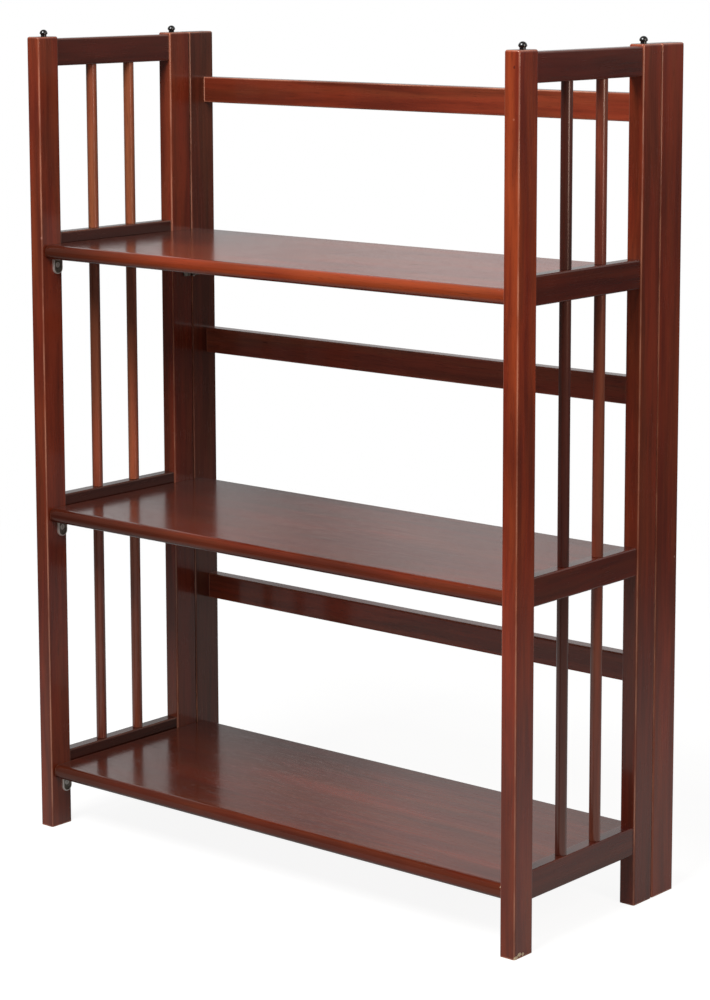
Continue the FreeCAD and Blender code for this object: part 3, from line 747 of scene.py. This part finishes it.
class Turnery:
    """Geometry Nodes trees that make a turned piece at each of many places, and what runs them."""

    def __init__(self) -> None:
        """Builds both trees once."""
        self.turned = self._turned()
        self.screws = self._screws()

    @staticmethod
    def _lathe(graph: Graph) -> Socket:
        """Turns the outline that a tree is given, a chain of points at (radius, 0, height), about z.

        Args:
            graph: the tree.

        Returns:
            The turned mesh.
        """
        chain = graph.add("GeometryNodeObjectInfo", {"Object": graph.given["Outline"]}).outputs["Geometry"]
        curve = graph.out("GeometryNodeMeshToCurve", {"Mesh": chain})
        radius, _, height = graph.split(graph.out("GeometryNodeInputPosition"))
        sized = graph.out("GeometryNodeSetCurveRadius", {"Curve": curve, "Radius": radius})
        on_axis = graph.out("ShaderNodeCombineXYZ", {"Z": height})
        axis = graph.out("GeometryNodeSetPosition", {"Geometry": sized, "Position": on_axis})
        section = graph.out("GeometryNodeCurvePrimitiveCircle",
                            {"Resolution": graph.given["Sides"], "Radius": 1.0})
        across = graph.out("GeometryNodeInputRadius")
        return graph.out("GeometryNodeCurveToMesh",
                         {"Curve": axis, "Profile Curve": section, "Scale": across, "Fill Caps": True})

    @staticmethod
    def _at_places(graph: Graph, master: Socket) -> None:
        """Puts a master piece at every point, turned to the point's aim, and ends the tree.

        Args:
            graph: the tree.
            master: the mesh that is repeated, drawn along +z.
        """
        aim = graph.out("GeometryNodeInputNamedAttribute", {"Name": "aim"}, data_type="FLOAT_VECTOR")
        turn = graph.out("FunctionNodeAlignRotationToVector", {"Vector": aim}, axis="Z")
        copies = graph.out("GeometryNodeInstanceOnPoints",
                           {"Points": graph.given["Places"], "Instance": master, "Rotation": turn})
        real = graph.out("GeometryNodeRealizeInstances", {"Geometry": copies})
        smooth = graph.out("GeometryNodeSetShadeSmooth", {"Geometry": real})
        dressed = graph.out("GeometryNodeSetMaterial",
                            {"Geometry": smooth, "Material": graph.given["Finish"]})
        graph.feed(graph.result["Pieces"], dressed)

    @staticmethod
    def _tree(name: str, *sizes: str) -> Graph:
        """Starts a tree for turned pieces.

        Args:
            name: its name.
            sizes: names of the inputs that it needs besides the outline and its sides.

        Returns:
            The tree's graph.
        """
        inputs = {Kind.SHAPE: ["Places"], Kind.PIECE: ["Outline"], Kind.COUNT: ["Sides"], Kind.NUMBER: sizes,
                  Kind.FINISH: ["Finish"]}
        return Graph.group(name, inputs, {Kind.SHAPE: ["Pieces"]}, kind="GeometryNodeTree")

    def _turned(self) -> Graph:
        """Spindles and pegs: one outline, turned and repeated.

        Returns:
            The tree's graph.
        """
        graph = self._tree("turned_pieces")
        self._at_places(graph, self._lathe(graph))
        return graph

    def _screws(self) -> Graph:
        """Countersunk screws: a turned blank, a cross cut into its head, and a thread wound round it.

        Returns:
            The tree's graph.
        """
        graph = self._tree("countersunk_screws", "Slot Length", "Slot Width", "Slot Depth", "Thread Start",
                           "Thread Length", "Turns", "Thread Radius", "Wire")
        given = graph.given
        deep = graph.math("MULTIPLY", given["Slot Depth"], 2.0)
        cut = graph.add("GeometryNodeMeshBoolean", {"Mesh 1": self._lathe(graph)}, operation="DIFFERENCE")
        for length, width in (("Slot Length", "Slot Width"), ("Slot Width", "Slot Length")):
            size = graph.out("ShaderNodeCombineXYZ", {"X": given[length], "Y": given[width], "Z": deep})
            graph.feed(cut.inputs["Mesh 2"], graph.out("GeometryNodeMeshCube", {"Size": size}))
        radius = given["Thread Radius"]
        spiral = graph.out("GeometryNodeCurveSpiral",
                           {"Resolution": 12, "Rotations": given["Turns"], "Start Radius": radius,
                            "End Radius": radius, "Height": given["Thread Length"]})
        lift = graph.out("ShaderNodeCombineXYZ", {"Z": given["Thread Start"]})
        lifted = graph.out("GeometryNodeTransform", {"Geometry": spiral, "Translation": lift})
        wire = graph.out("GeometryNodeCurvePrimitiveCircle", {"Resolution": 4, "Radius": given["Wire"]})
        thread = graph.out("GeometryNodeCurveToMesh",
                           {"Curve": lifted, "Profile Curve": wire, "Fill Caps": True})
        whole = graph.add("GeometryNodeJoinGeometry")
        for part in (thread, cut.outputs[0]):
            graph.feed(whole.inputs[0], part)
        self._at_places(graph, whole.outputs[0])
        return graph

    def run(self, tree: Graph, name: str, outline: Outline, places: list[Vector], aims: list[Vector],
            **inputs: object) -> bpy.types.Object:
        """Runs a tree and keeps its result as a plain mesh.

        Args:
            tree: one of this class's trees.
            name: the piece's name.
            outline: radius and height of each point of the turned outline.
            places: where each copy's own origin goes.
            aims: the direction that each copy's z axis takes.
            inputs: the tree's other inputs, with _ for each space in a name.

        Returns:
            The new object, at the origin.
        """
        chain = bpy.data.meshes.new("outline")
        chain.from_pydata([(radius, 0.0, height) for radius, height in outline],
                          [(step, step + 1) for step in range(len(outline) - 1)], [])
        profile = bpy.data.objects.new("outline", chain)
        points = bpy.data.meshes.new("places")
        points.from_pydata([tuple(place) for place in places], [], [])
        aim = points.attributes.new("aim", "FLOAT_VECTOR", "POINT")
        aim.data.foreach_set("vector", [number for direction in aims for number in direction])
        maker = placed("places", points)
        modifier = maker.modifiers.new(tree.tree.name, "NODES")
        modifier.node_group = tree.tree
        values = {"Outline": profile} | {key.replace("_", " "): value for key, value in inputs.items()}
        for item in tree.tree.interface.items_tree:
            if item.in_out == "INPUT" and item.name in values:
                modifier[item.identifier] = values[item.name]
        mesh = bpy.data.meshes.new_from_object(maker.evaluated_get(bpy.context.evaluated_depsgraph_get()))
        bpy.data.objects.remove(maker)
        bpy.data.objects.remove(profile)
        mesh.name = name
        mesh.set_sharp_from_angle(angle=SMOOTH_ANGLE)
        return placed(name, mesh)


turnery = Turnery()


def finished(piece: bpy.types.Object, body: str, slot: str, *replaced: str) -> None:
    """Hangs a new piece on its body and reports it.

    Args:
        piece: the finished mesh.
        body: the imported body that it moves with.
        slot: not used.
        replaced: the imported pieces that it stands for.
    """
    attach(piece, body)
    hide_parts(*replaced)
    log.info("%s: %d faces, stands for %d pieces", piece.name, len(piece.data.polygons), len(replaced))


class Uprights:
    """Packed upright pieces of one size, which are turned again as one piece."""

    def __init__(self, nodes: list[str]) -> None:
        """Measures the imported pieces.

        Args:
            nodes: their names.
        """
        self.nodes = nodes
        self.boxes = [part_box(node) for node in nodes]
        low, high = self.boxes[0]
        self.radius = (high.x - low.x) / 2
        self.length = high.z - low.z

    def turn(self, name: str, slot: str, outline: Outline, sides: int, finish: Material) -> None:
        """Turns them in their places.

        Args:
            name: the new piece's name.
            slot: the record's material slot.
            outline: radius and height of each point of the turned outline.
            sides: corners of the round section.
            finish: the new piece's material.
        """
        feet = [Vector(((low.x + high.x) / 2, (low.y + high.y) / 2, low.z)) for low, high in self.boxes]
        piece = turnery.run(turnery.turned, name, outline, feet, [Vector((0, 0, 1))] * len(feet),
                            Sides=sides, Finish=finish)
        finished(piece, "root", slot, *self.nodes)


def dress(node: str, material: Material) -> None:
    """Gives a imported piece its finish.

    Args:
        node: the piece's name.
        material: its material.
    """
    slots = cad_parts[node].data.materials
    slots.clear()
    slots.append(material)
    log.info("%s: %s", node, material.name)


class Workshop:
    """Numbers the wooden pieces, so that each has its own stretch of grain."""

    def __init__(self) -> None:
        """Starts at the first piece."""
        self.made = 0

    def lacquered(self, piece: str, lacquer: Lacquer, grain: Grain, box: Box) -> Material:
        """Makes the finish of the next wooden piece."""
        self.made += 1
        return lacquer.material(piece, self.made, grain, box, SPOTS.get(piece, ()))

    def finish(self, node: str, lacquer: Lacquer, grain: Grain) -> None:
        """Lacquers one packed wooden piece."""
        dress(node, self.lacquered(node, lacquer, grain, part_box(node)))


workshop = Workshop()


# ---- Sub-assemblies ----
@dataclass
class SideFrame:
    """A front and a rear post, four rails, and two spindles in every bay.

    Args:
        side: which side of the bookcase it stands on.
        ease: rounding of a spindle's shoulders.
        tenon_length: how far a spindle's turned ends go into the rails.
        tenon_radius: their radius.
        sides: corners of a spindle's round section.
    """

    side: Side
    ease: float = 0.4 * MM
    tenon_length: float = 10.0 * MM
    tenon_radius: float = 4.5 * MM
    sides: int = 48

    def build(self) -> None:
        """Dresses the posts and rails and turns the spindles."""
        for row, stains in ((Row.FRONT, FRONT_STAINS), (Row.REAR, REAR_STAINS)):
            workshop.finish(f"{row.value}_post_{self.side.word}", stains[self.side], Grain.ALONG_Z)
        for rail in ("top", "upper", "middle", "lower"):
            stains = TOP_RAIL_STAINS if rail == "top" else RAIL_STAINS
            workshop.finish(f"{rail}_rail_{self.side.word}", stains[self.side], Grain.ALONG_Y)
        for row in Row:
            self.turn_spindles(row, (Level.UPPER,))
            self.turn_spindles(row, (Level.LOWER, Level.MIDDLE))

    def turn_spindles(self, row: Row, bays: tuple[Level, ...]) -> None:
        """Turns equally long spindles that stand over each other.

        Args:
            row: which of the two in a bay.
            bays: the bays that they stand in.
        """
        spindles = Uprights([f"spindle_{bay.value}_{row.value}_{self.side.word}" for bay in bays])
        half = [
            (self.tenon_radius - self.ease, 0.0),
            (self.tenon_radius, self.ease),
            (self.tenon_radius, self.tenon_length - self.ease / 4),
            (spindles.radius - self.ease, self.tenon_length),
            (spindles.radius, self.tenon_length + self.ease),
        ]
        outline = half + [(across, spindles.length - up) for across, up in reversed(half)]
        name = f"spindles_{'_'.join(bay.value for bay in bays)}_{row.value}_{self.side.word}"
        left_stains = PALE_SPINDLES if Level.UPPER in bays else WARM_SPINDLES
        lacquer = (left_stains if self.side is Side.LEFT else DEEP_SPINDLES)[row]
        box = (spindles.boxes[0][0], spindles.boxes[-1][1])
        material = workshop.lacquered(name, lacquer, Grain.ALONG_Z, box)
        spindles.turn(name, "wood", outline, self.sides, material)


@dataclass
class BackFrame:
    """Two posts and three flat rails."""

    def build(self) -> None:
        """Dresses the posts and rails."""
        for side in Side:
            workshop.finish(f"back_post_{side.word}", BACK_POST_STAINS[side], Grain.ALONG_Z)
        for level in Level:
            workshop.finish(f"back_rail_{level.value}", BACK_RAIL_STAINS[level], Grain.ALONG_X)


@dataclass
class Shelf:
    """A shelf with its bushes, and the brackets that it rests on.

    Args:
        level: which shelf it is.
        bracket_rim: width of the painted highlight on the rim of its brackets.
        corner_flat: straight stretch left between a bracket's two rounded corners.
    """

    level: Level
    bracket_rim: float = 1.4 * MM
    corner_flat: float = 0.3 * MM

    def build(self, nylon: Material) -> None:
        """Dresses the shelf, its bushes and its brackets.

        Args:
            nylon: finish of the bushes.
        """
        workshop.finish(f"shelf_{self.level.value}", SHELF_STAINS[self.level], Grain.ALONG_X)
        dress(f"pivot_bushes_{self.level.value}", nylon)
        brackets = f"shelf_brackets_{self.level.value}"
        low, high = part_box(brackets)
        radius = (high.y - low.y) / 2
        centre = (0.0, (low.y + high.y) / 2, low.z + radius - self.corner_flat)
        dress(brackets, CUP_ZINC.material(brackets, (centre, radius, self.bracket_rim)))


@dataclass
class Hinges:
    """The butt hinges between the side frames and the back frame, and the shelves' pivot pins."""

    def build(self, zinc: Material, aged: Material) -> None:
        """Dresses leaves and pins.

        Args:
            zinc: finish of the pins.
            aged: finish of the leaves.
        """
        for level in Level:
            for side in Side:
                for leaf in ("side", "back"):
                    dress(f"hinge_{level.value}_{leaf}_leaf_{side.word}", aged)
        dress("hinge_pins", zinc)
        dress("pivot_pins", zinc)


@dataclass
class Pegs:
    """Stacking pegs on the four outer posts.

    Args:
        shank_radius: radius of the part in the post.
        shank_length: its length.
        ledge: height of the step from the shank to the neck.
        neck_radius: radius just over the post.
        neck_height: height of the neck.
        waist: how far the head's underside tapers.
        dome_radius: radius of the rounded top.
        dome_steps: steps along its outline.
        sides: corners of the round section.
    """

    shank_radius: float = 3.0 * MM
    shank_length: float = 15.0 * MM
    ledge: float = 0.01 * MM
    neck_radius: float = 3.3 * MM
    neck_height: float = 2.0 * MM
    waist: float = 1.2 * MM
    dome_radius: float = 4.5 * MM
    dome_steps: int = 14
    sides: int = 48

    def build(self, plastic: Material) -> None:
        """Turns the four pegs.

        Args:
            plastic: their finish.
        """
        pegs = Uprights([f"stacking_peg_{row.value}_{side.word}" for row in Row for side in Side])
        neck = self.shank_length + self.neck_height
        rim = pegs.radius - self.dome_radius
        spring = pegs.length - self.dome_radius
        outline = [
            (self.shank_radius, 0.0),
            (self.shank_radius, self.shank_length - self.ledge),
            (self.neck_radius, self.shank_length),
            (self.neck_radius, neck),
            (pegs.radius, neck + self.waist),
        ]
        for step in range(self.dome_steps + 1):
            angle = math.pi / 2 * step / self.dome_steps
            outline.append((rim + self.dome_radius * math.cos(angle),
                            spring + self.dome_radius * math.sin(angle)))
        pegs.turn("stacking_pegs", "peg_plastic", outline, self.sides, plastic)


@dataclass
class Screws:
    """Countersunk wood screws in the brackets and hinge leaves.

    Args:
        head_radius: radius of the head.
        crown: height of the head's edge.
        face: radius of the flat of the head, as a share of the head's.
        shank_radius: radius of the blank.
        length: length under the head's face.
        point: length of the point.
        point_radius: radius of its tip.
        bracket_drop: from a bracket's top down to its screw.
        leaf_inset: from a leaf's outer edge to its screws.
        pitch: between the two screws of a leaf.
        plate: thickness of a bracket or leaf.
        slot_length: length of each slot of the cross.
        slot_width: its width.
        slot_depth: its depth.
        thread_pitch: between two turns of the thread.
        wire: radius of the thread.
        sides: corners of the round section.
    """

    head_radius: float = 3.3 * MM
    crown: float = 0.12 * MM
    face: float = 0.8
    shank_radius: float = 1.45 * MM
    length: float = 16.0 * MM
    point: float = 3.0 * MM
    point_radius: float = 0.3 * MM
    bracket_drop: float = 7.9 * MM
    leaf_inset: float = 6.65 * MM
    pitch: float = 22.0 * MM
    plate: float = 1.5 * MM
    slot_length: float = 3.6 * MM
    slot_width: float = 0.9 * MM
    slot_depth: float = 1.1 * MM
    thread_pitch: float = 1.5 * MM
    wire: float = 0.28 * MM
    sides: int = 32

    def places(self) -> tuple[list[Vector], list[Vector]]:
        """Finds where the screws go.

        Returns:
            The middle of each screw's head, and the direction that the screw points in.
        """
        heads, aims = [], []
        for side in Side:
            inner = 0 if side is Side.RIGHT else 1
            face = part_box(f"back_post_{side.word}")[inner].x - side.value * self.plate
            spots = []
            for level in Level:
                low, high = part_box(f"shelf_brackets_{level.value}")
                spots.append(((low.y + high.y) / 2, high.z - self.bracket_drop))
                for leaf in ("side", "back"):
                    low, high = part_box(f"hinge_{level.value}_{leaf}_leaf_{side.word}")
                    across = low.y + self.leaf_inset if leaf == "side" else high.y - self.leaf_inset
                    middle = (low.z + high.z) / 2
                    spots += [(across, middle - self.pitch / 2), (across, middle + self.pitch / 2)]
            heads += [Vector((face, y, z)) for y, z in spots]
            aims += [Vector((side.value, 0, 0))] * len(spots)
        return heads, aims

    def build(self, zinc: Material) -> None:
        """Makes the screws.

        Args:
            zinc: their finish.
        """
        neck = self.head_radius - self.shank_radius
        outline = [
            (self.face * self.head_radius, -self.crown / 4),
            (self.head_radius - self.crown, 0.0),
            (self.head_radius, self.crown),
            (self.shank_radius, neck + self.crown),
            (self.shank_radius, self.length - self.point),
            (self.point_radius, self.length),
        ]
        heads, aims = self.places()
        thread = self.length - self.point - neck - 2 * self.thread_pitch
        piece = turnery.run(turnery.screws, "countersunk_screws", outline, heads, aims, Sides=self.sides,
                            Slot_Length=self.slot_length, Slot_Width=self.slot_width,
                            Slot_Depth=self.slot_depth, Thread_Start=neck + self.thread_pitch,
                            Thread_Length=thread, Turns=thread / self.thread_pitch,
                            Thread_Radius=self.shank_radius, Wire=self.wire, Finish=zinc)
        finished(piece, "root", "steel", "wood_screws")


# ---- Studio and camera ----
@dataclass(frozen=True)
class Lamp:
    """A rectangular softbox.

    Args:
        name: its name.
        place: where it stands.
        aim: the point that it faces.
        width: its width.
        height: its height.
        power: its power in watts.
        colour: its colour.
    """

    name: str
    place: Triple
    aim: Triple
    width: float
    height: float
    power: float
    colour: Colour = (1.0, 1.0, 1.0)

    def build(self) -> None:
        """Sets the lamp up."""
        light = bpy.data.lights.new(self.name, "AREA")
        light.shape = "RECTANGLE"
        light.size = self.width
        light.size_y = self.height
        light.energy = self.power
        light.color = self.colour
        lamp = placed(self.name, light)
        lamp.location = self.place
        lamp.rotation_euler = (Vector(self.aim) - Vector(self.place)).to_track_quat("-Z", "Y").to_euler()
        lamp.visible_camera = False
        log.info("%s: %.0f W", self.name, self.power)


@dataclass
class Studio:
    """A pale floor that fades into a white background, and soft light.

    Args:
        floor_radius: how far the floor reaches.
        fade_start: where it starts to fade.
        fade_end: where it is gone, as a share of its radius.
        floor_colour: its colour.
        floor_lift: light added to the floor where the camera sees it, to bring it near white.
        mirrored_lift: light added to it where the lacquer and the metal mirror it.
        fill: level of the background as a source of light.
        low_fill: share of that which comes from under the horizon.
        behind: how much stronger the fill is from behind the object.
        below: level of what is mirrored from under the horizon.
        backdrop: level of the wall behind the object, where it is mirrored.
        high_share: how much of that is left higher up.
        dip: how much darker the wall is, higher up, between the two lights on it.
        dip_left: how far to the left the middle of the dip lies, in a level unit direction.
        dip_reach: its half width.
        dip_edge: half width of the step to its left, as a share of that.
        left_shade: how much darker the wall is to the left of the dip.
        left_glow: how much brighter it is where the light on its left end begins.
        glow_step: where that light is full and where it ends, in half widths of the dip.
        room: level of the rest of the room, where it is mirrored.
        lamps: the softboxes.
    """

    floor_radius: float = 2.4
    fade_start: float = 0.5
    fade_end: float = 0.95
    floor_colour: Colour = (0.27, 0.27, 0.265)
    floor_lift: float = 0.91
    mirrored_lift: float = 0.22
    fill: float = 0.13
    low_fill: float = 0.3
    behind: float = 0.9
    below: float = 0.06
    backdrop: float = 0.55
    high_share: float = 0.92
    dip: float = 0.75
    dip_left: float = 0.656
    dip_reach: float = 0.031
    dip_edge: float = 0.3
    left_shade: float = 0.35
    left_glow: float = 1.0
    glow_step: tuple[float, float] = (-1.9, -1.4)
    room: float = 0.20
    lamps: tuple[Lamp, ...] = (
        Lamp("key_softbox", (0.18, -1.70, 2.35), (0.0, 0.0, 0.5), 1.2, 1.2, 53.0),
        Lamp("side_softbox", (2.0, -0.30, 1.36), (0.0, -0.05, 1.1), 0.4, 1.45, 8.6, (1.0, 0.90, 0.80)),
    )

    def build(self) -> None:
        """Makes the floor, the background and the lamps."""
        self.lay_floor()
        self.set_background()
        for lamp in self.lamps:
            lamp.build()

    @staticmethod
    def light_paths(graph: Graph) -> tuple[Socket, Socket]:
        """Tells what kind of ray asks.

        Args:
            graph: the tree that needs to know.

        Returns:
            A mask of what the camera sees directly, and one of what shows in gloss or through glass.
        """
        path = graph.add("ShaderNodeLightPath").outputs
        mirrored = graph.math("ADD", path["Is Glossy Ray"], path["Is Transmission Ray"], clamp=True)
        return path["Is Camera Ray"], mirrored

    def lay_floor(self) -> None:
        """Makes the floor and its material."""
        shape = bmesh.new()
        bmesh.ops.create_circle(shape, cap_ends=True, segments=96, radius=self.floor_radius)
        mesh = bpy.data.meshes.new("floor")
        shape.to_mesh(mesh)
        shape.free()
        material = bpy.data.materials.new("pale_floor")
        material.use_nodes = True
        graph = Graph(material.node_tree)
        graph.tree.nodes.clear()
        seen, mirrored = self.light_paths(graph)
        lift = graph.weigh(seen, self.floor_lift, mirrored, self.mirrored_lift)
        diffuse = graph.out("ShaderNodeBsdfDiffuse", {"Color": opaque(self.floor_colour)})
        glow = graph.out("ShaderNodeEmission", {"Strength": lift})
        lit = graph.out("ShaderNodeAddShader", {0: diffuse, 1: glow})
        from_middle = graph.measure("LENGTH", graph.add("ShaderNodeTexCoord").outputs["Object"])
        fade = graph.ramp(from_middle, self.fade_start, self.floor_radius * self.fade_end)
        clear = graph.out("ShaderNodeBsdfTransparent")
        whole = graph.out("ShaderNodeMixShader", {0: fade, 1: lit, 2: clear})
        graph.add("ShaderNodeOutputMaterial", {"Surface": whole})
        mesh.materials.append(material)
        floor = placed("floor", mesh)

    def set_background(self) -> None:
        """Makes the world: white where it is seen, a soft tent in reflections, and an even fill."""
        world = bpy.data.worlds.new("studio")
        world.use_nodes = True
        bpy.context.scene.world = world
        graph = Graph(world.node_tree)
        graph.tree.nodes.clear()
        seen, mirrored = self.light_paths(graph)
        direction = graph.add("ShaderNodeTexCoord").outputs["Generated"]
        _, back, up = graph.split(direction)
        tent = self.mirrored_tent(graph, direction, back, up)
        sky = graph.math("MULTIPLY", graph.ramp(up, -0.1, 0.2, self.fill * self.low_fill, self.fill),
                         graph.ramp(back, -0.1, 0.7, 1.0, 1.0 + self.behind))
        fill = graph.math("MULTIPLY", graph.math("SUBTRACT", 1.0, mirrored), sky)
        unseen = graph.math("MULTIPLY_ADD", mirrored, tent, fill)
        level = graph.math("MULTIPLY_ADD", graph.math("SUBTRACT", 1.0, seen), unseen, seen)
        background = graph.out("ShaderNodeBackground", {"Color": opaque((1.0, 1.0, 1.0)), "Strength": level})
        graph.add("ShaderNodeOutputWorld", {"Surface": background})

    def mirrored_tent(self, graph: Graph, direction: Socket, back: Socket, up: Socket) -> Socket:
        """Makes what gloss mirrors: a pale wall behind the object in a dimmer room.

        Args:
            graph: the world's tree.
            direction: where a ray goes.
            back: its y component.
            up: its z component.

        Returns:
            The level of the light.
        """
        level_direction = graph.vector("NORMALIZE", graph.vector("MULTIPLY", direction, (1.0, 1.0, 0.0)))
        right, _, _ = graph.split(level_direction)
        overhead = graph.ramp(up, 0.5, 0.8, 1.0, 0.0)
        wall = graph.math("MULTIPLY", graph.ramp(back, -0.2, 0.4),
                          graph.ramp(up, 0.08, 0.2, 1.0, self.high_share))
        wall = graph.math("MULTIPLY", wall, overhead)
        from_dip = graph.math("ADD", right, self.dip_left)
        dip = graph.ramp(graph.math("ABSOLUTE", from_dip), 0.0, self.dip_reach, self.dip, 0.0)
        edge = self.dip_edge * self.dip_reach
        left = graph.ramp(from_dip, -edge, edge, -self.left_shade, 0.0)
        full, gone = (share * self.dip_reach for share in self.glow_step)
        glow = graph.ramp(from_dip, full, gone, self.left_glow, 0.0)
        uneven = graph.math("SUBTRACT", graph.math("ADD", glow, left), dip)
        shade = graph.math("MULTIPLY", uneven, graph.ramp(up, 0.1, 0.22))
        wall = graph.math("MULTIPLY", wall, graph.math("MAXIMUM", graph.math("ADD", 1.0, shade), 0.0))
        around = graph.math("MULTIPLY_ADD", wall, self.backdrop - self.room, self.room - self.below)
        return graph.math("MULTIPLY_ADD", graph.ramp(up, -0.05, 0.04), around, self.below)


@dataclass(frozen=True)
class Camera:
    """Portrait view from the front right, a little over the top of the posts.

    Args:
        place: where it stands.
        yaw: turned from straight ahead towards the left, in degrees.
        pitch: downwards, in degrees.
        roll: in degrees.
        lens: in millimetres.
        film: long side of the picture on the film, in millimetres.
        shift: of the picture's middle, in picture heights.
    """

    place: Triple = (2.01822, -2.36064, 1.04051)
    yaw: float = 40.30
    pitch: float = 8.23
    roll: float = -0.14
    lens: float = 100.10
    film: float = 36.0
    shift: float = -0.15

    def build(self) -> None:
        """Makes the camera and the colour settings."""
        data = bpy.data.cameras.new("camera")
        data.lens = self.lens
        data.sensor_width = self.film
        data.sensor_fit = "AUTO"
        data.shift_y = self.shift
        camera = placed("camera", data)
        camera.location = self.place
        level = Euler((math.radians(90 - self.pitch), 0.0, math.radians(self.yaw))).to_matrix()
        camera.rotation_euler = (level @ Euler((0.0, 0.0, math.radians(self.roll))).to_matrix()).to_euler()
        bpy.context.scene.camera = camera
        bpy.context.scene.view_settings.view_transform = "Standard"


def main() -> None:
    """Builds every piece in order."""
    logging.basicConfig(level=logging.INFO, format="%(message)s")
    zinc, plastic, nylon = ZINC.material(), PEG_PLASTIC.material(), NYLON.material()
    for side in Side:
        SideFrame(side).build()
    BackFrame().build()
    for level in Level:
        Shelf(level).build(nylon)
    Hinges().build(zinc, DARK_ZINC.material())
    Pegs().build(plastic)
    Screws().build(zinc)
    workshop.finish("joint_dowels", BEECH, Grain.ALONG_Y)
    Studio().build()
    Camera().build()


if __name__ == "__main__":
    main()
